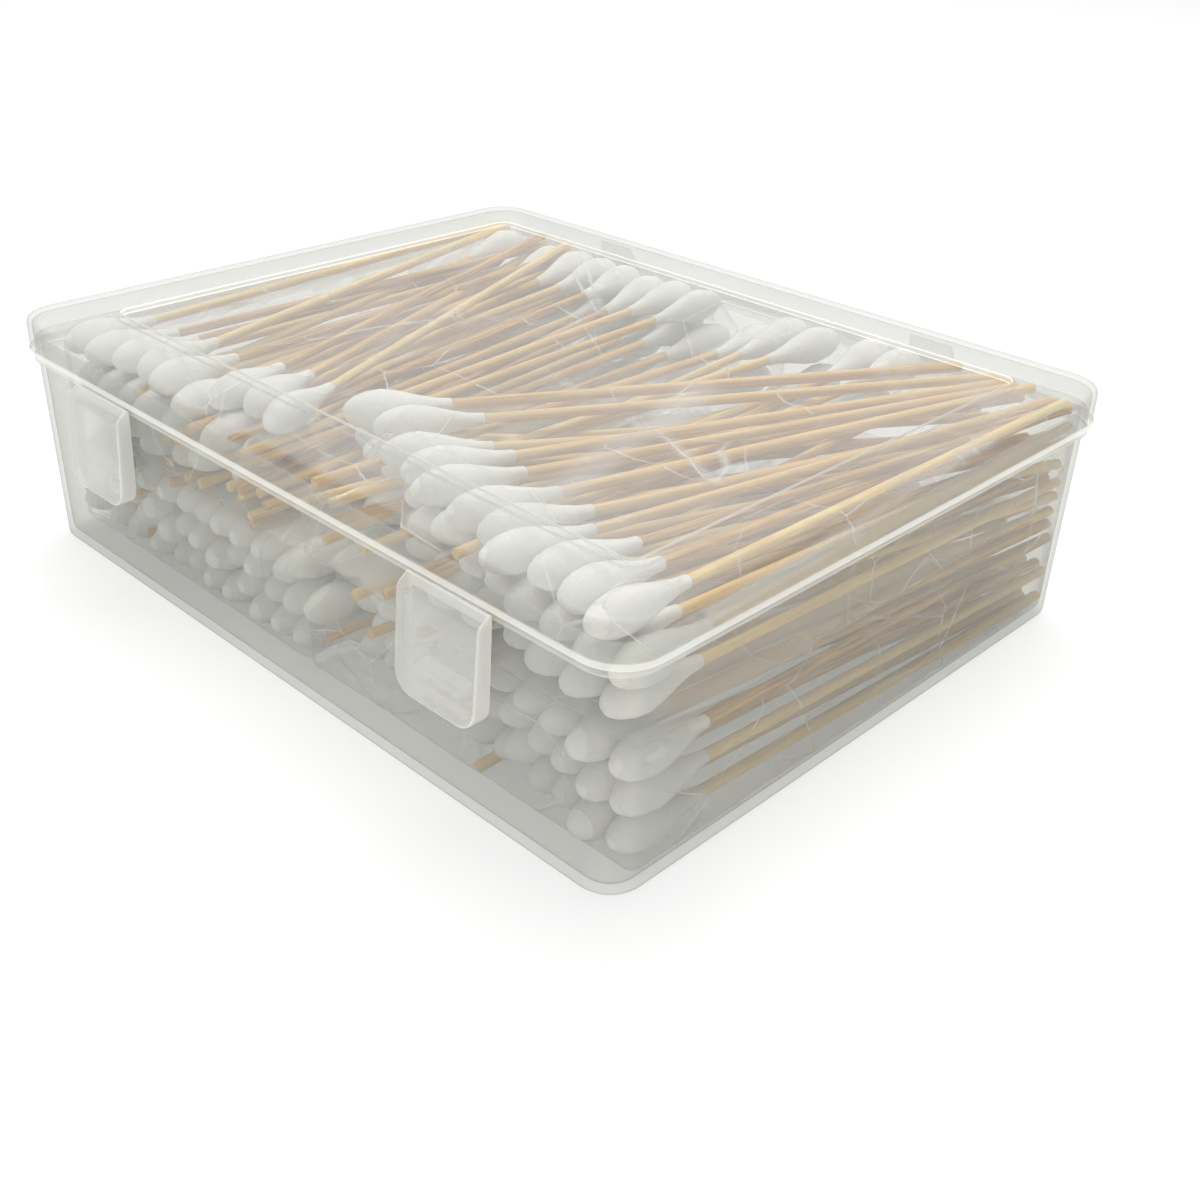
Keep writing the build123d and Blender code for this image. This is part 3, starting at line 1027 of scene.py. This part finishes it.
@dataclass
class SwabPile:
    """All swabs, laid out by family and then pushed apart; crowded ones still overlap."""

    swab: Swab
    bundles: list[Bundle]
    film: float = 0.6 * MM
    rounds: int = 260
    pull_home: float = 0.04
    crowd_ease: float = 0.7
    seed: int = 11
    nose: np.ndarray = field(init=False)
    tail: np.ndarray = field(init=False)
    owner: np.ndarray = field(init=False)
    way: np.ndarray = field(init=False)
    low_z: np.ndarray = field(init=False)
    high_z: np.ndarray = field(init=False)
    tail_y: np.ndarray = field(init=False)

    @property
    def span(self) -> float:
        """From the middle of the cotton's round nose to the middle of the tail's end."""
        return self.swab.length - self.swab.bud_radius - self.swab.stick_radius

    def lay_out(self) -> None:
        """Places every swab by the rule of its fan, before anything is pushed apart."""
        random = np.random.default_rng(self.seed)
        nose, tail, owner, way, low_z, high_z, tail_y = [], [], [], [], [], [], []
        for number, bundle in enumerate(self.bundles):
            floor, roof = bundle.low.z + self.film, bundle.high.z - self.film
            for fan in bundle.fans:
                for i in range(fan.count):
                    u = (i + 0.5) / fan.count
                    v = (i * 0.618034 + 0.37) % 1.0
                    bent = 1 - (1 - u) ** fan.gather
                    start = fan.nose_x[0] + u * (fan.nose_x[1] - fan.nose_x[0])
                    end = fan.tail_x[0] + bent * (fan.tail_x[1] - fan.tail_x[0])
                    end += random.normal(0, fan.scatter)
                    up = fan.nose_rise[0] + v * (fan.nose_rise[1] - fan.nose_rise[0])
                    back = fan.tail_rise[0] + v * (fan.tail_rise[1] - fan.tail_rise[0])
                    nose.append((start, 0, floor + up * (roof - floor)))
                    tail.append((end, 0, floor + back * (roof - floor)))
                    owner.append(number)
                    way.append(fan.heading.value)
                    low_z.append(floor)
                    high_z.append(roof)
                    wall = bundle.high.y if fan.heading is Heading.FRONT else bundle.low.y
                    back_off = self.film + self.swab.stick_radius + abs(random.normal(0, 1.6 * MM))
                    tail_y.append(wall + fan.heading.value * back_off)
        self.nose, self.tail = np.array(nose), np.array(tail)
        self.owner, self.way = np.array(owner), np.array(way)
        self.low_z, self.high_z, self.tail_y = np.array(low_z), np.array(high_z), np.array(tail_y)

    def hold(self) -> None:
        """Keeps every swab inside the tub and its layer of bags, and at its length."""
        for ends, radius in ((self.nose, self.swab.bud_radius), (self.tail, self.swab.stick_radius)):
            edge = max(abs(b.low.x) for b in self.bundles) - self.film - radius
            ends[:, 0] = np.clip(ends[:, 0], -edge, edge)
            ends[:, 2] = np.clip(ends[:, 2], self.low_z + radius, self.high_z - radius)
        drop = (self.nose - self.tail)[:, [0, 2]]
        run = np.sqrt(np.maximum(self.span ** 2 - (drop ** 2).sum(1), 0))
        self.tail[:, 1] = self.tail_y
        self.nose[:, 1] = self.tail_y + self.way * run

    def parts(self) -> tuple[np.ndarray, np.ndarray, np.ndarray]:
        """Start, end and radius of the three straight bodies that stand for a swab."""
        span, bud = self.span, self.swab.bud_radius
        stops = np.array([[0, 5.5], [5.5, 14.0], [14.0, span / MM]]) * MM / span
        return stops[:, 0], stops[:, 1], np.array([bud, bud * 0.7, self.swab.stick_radius])

    def near_pairs(self) -> tuple[np.ndarray, np.ndarray]:
        """Swabs that lie near enough to touch soon."""
        first, second = np.triu_indices(len(self.nose), 1)
        gap = self.closest(first, second, np.zeros(len(first)), np.ones(len(first)),
                           np.zeros(len(first)), np.ones(len(first)))[0]
        near = gap < 2.6 * self.swab.bud_radius
        return first[near], second[near]

    def closest(self, i: np.ndarray, j: np.ndarray, i0: np.ndarray, i1: np.ndarray,
                j0: np.ndarray, j1: np.ndarray) -> tuple[np.ndarray, np.ndarray, np.ndarray, np.ndarray]:
        """Nearest points of many pairs of straight bodies.

        Args:
            i: First swab of each pair.
            j: Second swab of each pair.
            i0: Where the first body starts, as a share of its swab's span.
            i1: Where it ends.
            j0: Where the second body starts.
            j1: Where it ends.

        Returns:
            Distance, direction from second to first, and the share along each swab.
        """
        along_i, along_j = self.tail[i] - self.nose[i], self.tail[j] - self.nose[j]
        start_i = self.nose[i] + along_i * i0[:, None]
        start_j = self.nose[j] + along_j * j0[:, None]
        d1, d2 = along_i * (i1 - i0)[:, None], along_j * (j1 - j0)[:, None]
        r = start_i - start_j
        a, e = (d1 * d1).sum(1), (d2 * d2).sum(1)
        b, c, f = (d1 * d2).sum(1), (d1 * r).sum(1), (d2 * r).sum(1)
        spread = np.maximum(a * e - b * b, 1e-14)
        s = np.clip((b * f - c * e) / spread, 0, 1)
        t = (b * s + f) / e
        s = np.where(t < 0, np.clip(-c / a, 0, 1), np.where(t > 1, np.clip((b - c) / a, 0, 1), s))
        t = np.clip(t, 0, 1)
        offset = r + d1 * s[:, None] - d2 * t[:, None]
        distance = np.sqrt((offset ** 2).sum(1)) + 1e-9
        return distance, offset / distance[:, None], i0 + s * (i1 - i0), j0 + t * (j1 - j0)

    def push(self, first: np.ndarray, second: np.ndarray) -> float:
        """Moves touching swabs apart once.

        Args:
            first: First swab of each near pair.
            second: Second swab of each near pair.

        Returns:
            The deepest overlap that was found.
        """
        begins, ends, radii = self.parts()
        kinds = [(p, q) for p in range(3) for q in range(3)]
        i, j = np.tile(first, len(kinds)), np.tile(second, len(kinds))
        p = np.repeat([k[0] for k in kinds], len(first))
        q = np.repeat([k[1] for k in kinds], len(first))
        gap, aim, at_i, at_j = self.closest(i, j, begins[p], ends[p], begins[q], ends[q])
        deep = radii[p] + radii[q] - gap
        hit = deep > 0
        i, j, aim, at_i, at_j, deep = i[hit], j[hit], aim[hit], at_i[hit], at_j[hit], deep[hit]
        move = {True: np.zeros_like(self.nose), False: np.zeros_like(self.nose)}
        count = {True: np.zeros(len(self.nose)), False: np.zeros(len(self.nose))}
        for swab, at, sign in ((i, at_i, 0.5), (j, at_j, -0.5)):
            for is_nose, share in ((True, 1 - at), (False, at)):
                scale = sign * deep * share / (share ** 2 + (1 - share) ** 2)
                np.add.at(move[is_nose], swab, aim * scale[:, None])
                np.add.at(count[is_nose], swab, share)
        self.nose += move[True] / np.maximum(1, self.crowd_ease * count[True])[:, None]
        self.tail += move[False] / np.maximum(1, self.crowd_ease * count[False])[:, None]
        return float(deep.max()) if len(deep) else 0.0

    def settle(self) -> None:
        """Pushes the swabs apart while they keep near their places.

        The rounds end before every overlap is gone: the deepest that is left is logged.
        """
        self.lay_out()
        self.hold()
        wish_nose, wish_tail = self.nose[:, 0].copy(), self.tail[:, 0].copy()
        rounds = self.rounds
        deepest = 0.0
        for step in range(rounds):
            if step % 10 == 0:
                first, second = self.near_pairs()
            pull = self.pull_home * (1 - step / rounds)
            self.nose[:, 0] += pull * (wish_nose - self.nose[:, 0])
            self.tail[:, 0] += pull * (wish_tail - self.tail[:, 0])
            deepest = self.push(first, second)
            self.hold()
        log.info("swabs settled, deepest overlap %.2f mm", deepest / MM)

    def heights(self, owners: Sequence[int], xs: np.ndarray, ys: np.ndarray,
                ground: float) -> np.ndarray:
        """Top of the named bundles' swabs over a grid.

        Args:
            owners: Numbers of the bundles.
            xs: Grid places along X.
            ys: Grid places along Y.
            ground: Height where there is no swab.

        Returns:
            Height at each place, X first.
        """
        field_z = np.full((len(xs), len(ys)), ground)
        reach = 1.5 * self.swab.bud_radius
        for n in np.flatnonzero(np.isin(self.owner, owners)):
            a, d = self.nose[n], self.tail[n] - self.nose[n]
            gx, gy = np.meshgrid(xs, ys, indexing="ij")
            flat = d[0] ** 2 + d[1] ** 2
            t = np.clip(((gx - a[0]) * d[0] + (gy - a[1]) * d[1]) / flat, 0, 1)
            off = np.hypot(gx - a[0] - t * d[0], gy - a[1] - t * d[1])
            s = t * self.span + self.swab.bud_radius
            wide = np.where(s < self.swab.bud_length, self.swab.bud_width(s), self.swab.stick_radius)
            z = a[2] + t * d[2] + np.sqrt(np.maximum(wide ** 2 - off ** 2, 0))
            field_z = np.where((off < np.minimum(wide, reach)), np.maximum(field_z, z), field_z)
        return field_z

    def scatter_tree(self) -> bpy.types.GeometryNodeTree:
        """Tree that sets one swab part on every point, turned along its aim."""
        tree = bpy.data.node_groups.new("swab_setter", "GeometryNodeTree")
        face = tree.interface
        face.new_socket("Places", in_out="INPUT", socket_type="NodeSocketGeometry")
        for name, kind in (("Part", "NodeSocketObject"), ("Finish", "NodeSocketMaterial"),
                           ("Seed", "NodeSocketInt"), ("Size Spread", "NodeSocketFloat")):
            face.new_socket(name, in_out="INPUT", socket_type=kind)
        face.new_socket("Swabs", in_out="OUTPUT", socket_type="NodeSocketGeometry")
        given = add_node(tree, "NodeGroupInput")
        made = add_node(tree, "NodeGroupOutput")
        part = add_node(tree, "GeometryNodeObjectInfo", inputs={"Object": given.outputs["Part"]})
        aim = add_node(tree, "GeometryNodeInputNamedAttribute", {"data_type": "FLOAT_VECTOR"},
                       {"Name": "aim"})
        turn = add_node(tree, "FunctionNodeAlignRotationToVector", {"axis": "Y"},
                        {"Vector": aim.outputs["Attribute"]})
        spin = add_node(tree, "FunctionNodeRandomValue", {"data_type": "FLOAT"},
                        {2: 0.0, 3: math.tau, "Seed": given.outputs["Seed"]})
        roll = add_node(tree, "FunctionNodeAxisAngleToRotation",
                        inputs={"Axis": (0, 1, 0), "Angle": spin.outputs[1]})
        pose = add_node(tree, "FunctionNodeRotateRotation", {"rotation_space": "LOCAL"},
                        {"Rotation": turn.outputs[0], "Rotate By": roll.outputs[0]})
        small = add_node(tree, "ShaderNodeMath", {"operation": "SUBTRACT"},
                         {0: 1.0, 1: given.outputs["Size Spread"]})
        size = add_node(tree, "FunctionNodeRandomValue", {"data_type": "FLOAT"},
                        {2: small.outputs[0], 3: 1.0, "Seed": given.outputs["Seed"]})
        scale = add_node(tree, "ShaderNodeCombineXYZ",
                         inputs={"X": size.outputs[1], "Y": 1.0, "Z": size.outputs[1]})
        placed = add_node(tree, "GeometryNodeInstanceOnPoints",
                          inputs={"Points": given.outputs["Places"],
                                  "Instance": part.outputs["Geometry"],
                                  "Rotation": pose.outputs[0], "Scale": scale.outputs[0]})
        whole = add_node(tree, "GeometryNodeRealizeInstances",
                         inputs={"Geometry": placed.outputs[0]})
        dressed = add_node(tree, "GeometryNodeSetMaterial",
                           inputs={"Geometry": whole.outputs[0],
                                   "Material": given.outputs["Finish"]})
        tree.links.new(dressed.outputs[0], made.inputs[0])
        return tree

    def build(self, part: bpy.types.Object, kind: str, finish: bpy.types.Material,
              slot: str, spread: float) -> list[bpy.types.Object]:
        """Makes one mesh of a swab part for each bundle.

        Args:
            part: The swab part, nose at the origin and along +Y.
            kind: Plural name of the part, as in the frame's nodes.
            finish: Its material.
            slot: Not used.
            spread: How much thinner the thinnest copy is, as a share.

        Returns:
            One object for each bundle.
        """
        tree = self.scatter_tree()
        keys = {item.name: item.identifier for item in tree.interface.items_tree
                if item.in_out == "INPUT"}
        made = []
        for number, bundle in enumerate(self.bundles):
            mine = self.owner == number
            aim = (self.tail - self.nose)[mine]
            aim /= np.linalg.norm(aim, axis=1)[:, None]
            places = bpy.data.meshes.new("places")
            places.from_pydata((self.nose[mine] - aim * self.swab.bud_radius).tolist(), [], [])
            way = places.attributes.new("aim", "FLOAT_VECTOR", "POINT")
            way.data.foreach_set("vector", aim.astype(np.float32).ravel())
            tone = places.attributes.new("tone", "FLOAT", "POINT")
            tones = np.random.default_rng(self.seed + number).random(len(aim))
            tone.data.foreach_set("value", tones.astype(np.float32))
            holder = bpy.data.objects.new("holder", places)
            bpy.context.scene.collection.objects.link(holder)
            setter = holder.modifiers.new("setter", "NODES")
            setter.node_group = tree
            for name, value in (("Part", part), ("Finish", finish), ("Seed", self.seed + number),
                                ("Size Spread", spread)):
                setter[keys[name]] = value
            graph = bpy.context.evaluated_depsgraph_get()
            mesh = bpy.data.meshes.new_from_object(holder.evaluated_get(graph),
                                                   preserve_all_data_layers=True, depsgraph=graph)
            bpy.data.objects.remove(holder)
            node = f"{kind}_{bundle.name}"
            item = link_object(f"{node}_set", mesh, finish)
            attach(item, "tub")
            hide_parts(node)
            made.append(item)
        return made


# ---- film bags -----------------------------------------------------------------------------
@dataclass
class FilmBag:
    """Bag of thin film drawn over one bundle of swabs, with packing creases."""

    bundle: Bundle
    number: int
    pile: SwabPile
    edge_round: float = 3.0 * MM
    grid: float = 1.3 * MM
    clearance: float = 0.35 * MM
    tautness: int = 14
    sag: float = 0.45
    creases: int = 60
    crease_depth: float = 0.55 * MM
    crease_width: float = 2.4 * MM

    def box_points(self) -> tuple[np.ndarray, list[list[int]]]:
        """Grid over the six sides of the bag's box, with shared edges."""
        low, high = np.array(self.bundle.low), np.array(self.bundle.high)
        steps = np.maximum(4, np.round((high - low) / self.grid)).astype(int)
        places: dict[tuple[int, int, int], int] = {}
        points, faces = [], []

        def corner(key: tuple[int, int, int]) -> int:
            """Number of the point at a grid place, made at its first use."""
            if key not in places:
                places[key] = len(points)
                points.append(low + (high - low) * np.array(key) / steps)
            return places[key]

        for axis in range(3):
            u, v = [a for a in range(3) if a != axis]
            for side in (0, steps[axis]):
                for i in range(steps[u]):
                    for j in range(steps[v]):
                        quad = []
                        for di, dj in ((0, 0), (1, 0), (1, 1), (0, 1)):
                            key = [0, 0, 0]
                            key[axis], key[u], key[v] = int(side), i + di, j + dj
                            quad.append(corner(tuple(key)))
                        faces.append(quad)
        return np.array(points), faces

    def drape(self, points: np.ndarray) -> np.ndarray:
        """Height of taut film over the swabs at each point."""
        low, high = self.bundle.low, self.bundle.high
        xs = np.arange(low.x - 20 * MM, high.x + 20 * MM, self.grid)
        ys = np.arange(low.y, high.y + self.grid, self.grid)
        ground = low.z + self.sag * (high.z - low.z)
        tops = self.pile.heights([self.number], xs, ys, ground) + self.clearance
        film = tops.copy()
        for _ in range(self.tautness):
            wide = np.pad(film, 2, mode="edge")
            near = sum(np.roll(np.roll(wide, i, 0), j, 1) for i in (-2, 0, 2) for j in (-2, 0, 2)) / 9
            film = np.maximum(near[2:-2, 2:-2], tops)
        ix = np.clip((points[:, 0] - xs[0]) / self.grid, 0, len(xs) - 1.001)
        iy = np.clip((points[:, 1] - ys[0]) / self.grid, 0, len(ys) - 1.001)
        x0, y0 = ix.astype(int), iy.astype(int)
        fx, fy = ix - x0, iy - y0
        level = (film[x0, y0] * (1 - fx) * (1 - fy) + film[x0 + 1, y0] * fx * (1 - fy)
                 + film[x0, y0 + 1] * (1 - fx) * fy + film[x0 + 1, y0 + 1] * fx * fy)
        return np.minimum(level, high.z)

    def build(self, finish: bpy.types.Material) -> bpy.types.Object:
        """Draws the film over the swabs, creases it and dresses it."""
        low, high = np.array(self.bundle.low), np.array(self.bundle.high)
        points, faces = self.box_points()
        core = np.clip(points, low + self.edge_round, high - self.edge_round)
        out = points - core
        reach = np.linalg.norm(out, axis=1, keepdims=True)
        outward = out / np.maximum(reach, 1e-9)
        points = core + outward * self.edge_round
        share = (points[:, 2] - low[2]) / (high[2] - low[2])
        points[:, 2] = low[2] + share * (self.drape(points) - low[2])
        random = np.random.default_rng(100 + self.number)
        fold = np.zeros(len(points))
        for _ in range(self.creases):
            centre = points[random.integers(len(points))]
            run, across = random.normal(size=3), random.normal(size=3)
            run /= np.linalg.norm(run)
            across -= run * across.dot(run)
            across /= np.linalg.norm(across)
            length = random.uniform(12, 45) * MM
            offset = points - centre
            near = np.maximum(0, 1 - np.abs(offset @ across) / self.crease_width)
            near *= np.maximum(0, 1 - (np.linalg.norm(offset, axis=1) / length) ** 2)
            fold = np.maximum(fold, near)
            points -= outward * (near * self.crease_depth * random.uniform(0.3, 1.0))[:, None]
        # Painted highlight: crease ridges and the listed fold bands are marked to turn white in the film
        # material.
        milky_and_glint = 0.5 * fold ** 4
        for band in self.bundle.folds:
            milky_and_glint = np.maximum(milky_and_glint, band.share(points) * (outward[:, 2] > 0.5))
        mesh = mesh_from(points, faces, 80)
        layer = mesh.attributes.new("fold", "FLOAT", "POINT")
        layer.data.foreach_set("value", milky_and_glint.astype(np.float32))
        node = f"bag_{self.bundle.name}"
        bag = link_object(f"{node}_film", mesh, finish)
        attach(bag, "tub")
        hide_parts(node)
        return bag


# ---- studio --------------------------------------------------------------------------------
@dataclass(frozen=True)
class Viewpoint:
    """Where the camera stands and how it looks, in degrees and millimetres."""

    place: tuple[float, float, float] = (234.48 * MM, -227.48 * MM, 178.85 * MM)
    azimuth: float = 43.84
    elevation: float = 28.58
    roll: float = 1.845
    lens: float = 43.18
    shift: tuple[float, float] = (0.0112, -0.0298)

    def build(self) -> bpy.types.Object:
        """Makes the scene's camera."""
        data = bpy.data.cameras.new("camera")
        data.lens, data.sensor_width = self.lens, 36.0
        data.shift_x, data.shift_y = self.shift
        data.clip_start, data.clip_end = 0.01, 20.0
        camera = bpy.data.objects.new("camera", data)
        bpy.context.scene.collection.objects.link(camera)
        a, e = math.radians(self.azimuth), math.radians(self.elevation)
        back = Vector((math.sin(a) * math.cos(e), -math.cos(a) * math.cos(e), math.sin(e)))
        right = Vector((0, 0, 1)).cross(back).normalized()
        up = back.cross(right)
        turn = Matrix((right, up, back)).transposed()
        turn = turn @ Matrix.Rotation(math.radians(self.roll), 3, "Z")
        camera.matrix_world = Matrix.Translation(self.place) @ turn.to_4x4()
        bpy.context.scene.camera = camera
        return camera


@dataclass(frozen=True)
class Lamp:
    """A soft square lamp aimed at the tub."""

    name: str
    place: tuple[float, float, float]
    size: float
    watts: float

    def build(self) -> bpy.types.Object:
        """Hangs the lamp and aims it at the middle of the tub."""
        data = bpy.data.lights.new(self.name, "AREA")
        data.size, data.energy = self.size, self.watts
        lamp = bpy.data.objects.new(self.name, data)
        bpy.context.scene.collection.objects.link(lamp)
        lamp.location = self.place
        aim = Vector((0, 0, 0.03)) - Vector(self.place)
        lamp.rotation_euler = aim.to_track_quat("-Z", "Y").to_euler()
        return lamp


@dataclass(frozen=True)
class Studio:
    """White surroundings, a pale floor and soft lamps."""

    ambient: float = 0.6
    floor_reach: float = 3.0
    floor_white: float = 0.7
    lamps: tuple[Lamp, ...] = (
        Lamp("top_lamp", (-0.25, 0.35, 1.25), 1.0, 19.0),
        Lamp("front_lamp", (0.9, -1.3, 0.9), 1.2, 8.0),
    )

    def world(self) -> None:
        """Lights softly, and shows white behind and in the gloss of things."""
        world = bpy.data.worlds.new("white_studio")
        bpy.context.scene.world = world
        world.use_nodes = True
        tree = world.node_tree
        tree.nodes.clear()
        ray = add_node(tree, "ShaderNodeLightPath")
        seen = add_node(tree, "ShaderNodeMath", {"operation": "MAXIMUM"},
                        {0: ray.outputs["Is Camera Ray"], 1: ray.outputs["Is Glossy Ray"]})
        through = add_node(tree, "ShaderNodeMath", {"operation": "MAXIMUM"},
                           {0: seen.outputs[0], 1: ray.outputs["Is Transmission Ray"]})
        soft = add_node(tree, "ShaderNodeBackground",
                        inputs={"Color": linear("#FFFFFF"), "Strength": self.ambient})
        white = add_node(tree, "ShaderNodeBackground",
                         inputs={"Color": linear("#FFFFFF"), "Strength": 1.0})
        mix = add_node(tree, "ShaderNodeMixShader",
                       inputs={0: through.outputs[0], 1: soft.outputs[0], 2: white.outputs[0]})
        output = add_node(tree, "ShaderNodeOutputWorld")
        tree.links.new(mix.outputs[0], output.inputs["Surface"])

    def floor(self) -> bpy.types.Object:
        """Pale paper that keeps the object's shadow but reads nearly white."""
        material, tree, output = new_material("white_paper_sweep")
        ray = add_node(tree, "ShaderNodeLightPath")
        share = add_node(tree, "ShaderNodeMath", {"operation": "MULTIPLY"},
                         {0: ray.outputs["Is Camera Ray"], 1: self.floor_white})
        paper = add_node(tree, "ShaderNodeBsdfDiffuse", inputs={"Color": linear("#F2F2F0")})
        white = add_node(tree, "ShaderNodeEmission", inputs={"Color": linear("#FFFFFF"),
                                                             "Strength": 1.0})
        mix = add_node(tree, "ShaderNodeMixShader",
                       inputs={0: share.outputs[0], 1: paper.outputs[0], 2: white.outputs[0]})
        tree.links.new(mix.outputs[0], output.inputs["Surface"])
        r = self.floor_reach
        mesh = bpy.data.meshes.new("floor")
        mesh.from_pydata([(-r, -r, 0), (r, -r, 0), (r, r, 0), (-r, r, 0)], [], [(0, 1, 2, 3)])
        mesh.transform(Matrix.Translation((0, 0, -0.05 * MM)))
        floor = link_object("floor", mesh, material)
        return floor

    def build(self) -> None:
        """Sets up the world, the floor and the lamps, at plain view settings."""
        bpy.context.scene.view_settings.view_transform = "Standard"
        cycles = bpy.context.scene.cycles
        cycles.transparent_max_bounces = 24
        cycles.max_bounces = 5
        cycles.diffuse_bounces = 3
        cycles.glossy_bounces = 2
        self.world()
        self.floor()
        for lamp in self.lamps:
            lamp.build()


# ---- the whole -----------------------------------------------------------------------------
def swab_bundles() -> list[Bundle]:
    """The four bags, and how the swabs of each lie."""
    front, back = Heading.FRONT, Heading.BACK
    return [
        Bundle("lower_left", (
            Fan(front, 37, (-84 * MM, -3 * MM), (-90 * MM, -8 * MM)),
            Fan(back, 8, (-93 * MM, -5 * MM), (-88 * MM, -20 * MM)))),
        Bundle("lower_right", (
            Fan(front, 38, (2 * MM, 94 * MM), (52 * MM, 97 * MM), gather=2.2, scatter=3 * MM),
            Fan(back, 7, (5 * MM, 60 * MM), (8 * MM, 60 * MM)))),
        Bundle("upper_left", (
            Fan(front, 23, (-94 * MM, -27 * MM), (-78 * MM, -72 * MM), (0.1, 1.0), (0.4, 1.0),
                scatter=11 * MM),
            Fan(back, 22, (-90 * MM, -6 * MM), (-62 * MM, -16 * MM), (0.2, 1.0), (0.0, 0.7)))),
        Bundle("upper_right", (
            Fan(front, 34, (-12 * MM, 94 * MM), (70 * MM, 97 * MM), (0.0, 1.0), (0.0, 1.0),
                gather=2.0, scatter=2.5 * MM),
            Fan(back, 11, (4 * MM, 60 * MM), (-6 * MM, 52 * MM), (0.2, 1.0), (0.0, 0.6))), (
            # Milky bands: partly film lying double, partly painted highlight; the last is painted
            # highlight for glints along the film's raised right edge.
            Fold((53 * MM, -58 * MM), (34 * MM, 17 * MM), 6 * MM, 0.55),
            Fold((70 * MM, -18 * MM), (33 * MM, -4 * MM), 1.5 * MM, 0.8),
            Fold((97 * MM, -52 * MM), (96 * MM, 42 * MM), 1.6 * MM, 0.9))),
    ]


def main() -> None:
    """Builds every sub-assembly in order and reports each piece."""
    logging.basicConfig(level=logging.INFO, format="%(name)s: %(message)s")
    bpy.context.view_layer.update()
    Studio().build()
    Viewpoint().build()

    joints = {joint["name"]: joint for joint in frame["joints"]}
    axis = joints["lid_hinge"]["pos_m"]
    latch_offset = joints["latch_right_hinge"]["pos_m"][0]
    # Painted shade: the tub's plastic is the lid's with a greyer body, darkened for the walls' shade.
    shaded_wall_plastic = NaturalPolypropylene("natural_polypropylene_tub", body="#CFD1CC").build()
    lid_plastic = NaturalPolypropylene("natural_polypropylene_lid", veil=0.07, edge_veil=0.3).build()
    latch_plastic = NaturalPolypropylene("natural_polypropylene_latch", veil=0.19, edge_veil=0.5,
                                         body="#EAEAE8", clear_edge="#D5D8D5").build()
    film = CastFilm().build()
    cotton = CottonWool().build()
    birch = TurnedBirch().build()

    tub = Tub()
    pieces = [tub.build(shaded_wall_plastic, latch_offset, axis)]
    lid = Lid()
    pieces.append(lid.build(lid_plastic, axis))
    for hand in Hand:
        pieces += Latch(hand).build(latch_plastic, lid, tub)

    swab = Swab()
    pile = SwabPile(swab, swab_bundles())
    pile.settle()
    pieces += pile.build(swab.bud(), "buds", cotton, "bud", 0.08)
    pieces += pile.build(swab.stick(), "sticks", birch, "stick", 0.12)
    for number, bundle in enumerate(pile.bundles):
        pieces.append(FilmBag(bundle, number, pile).build(film))
    for piece in pieces:
        log.info("%s: %d faces", piece.name, len(piece.data.polygons))


if __name__ == "__main__":
    main()
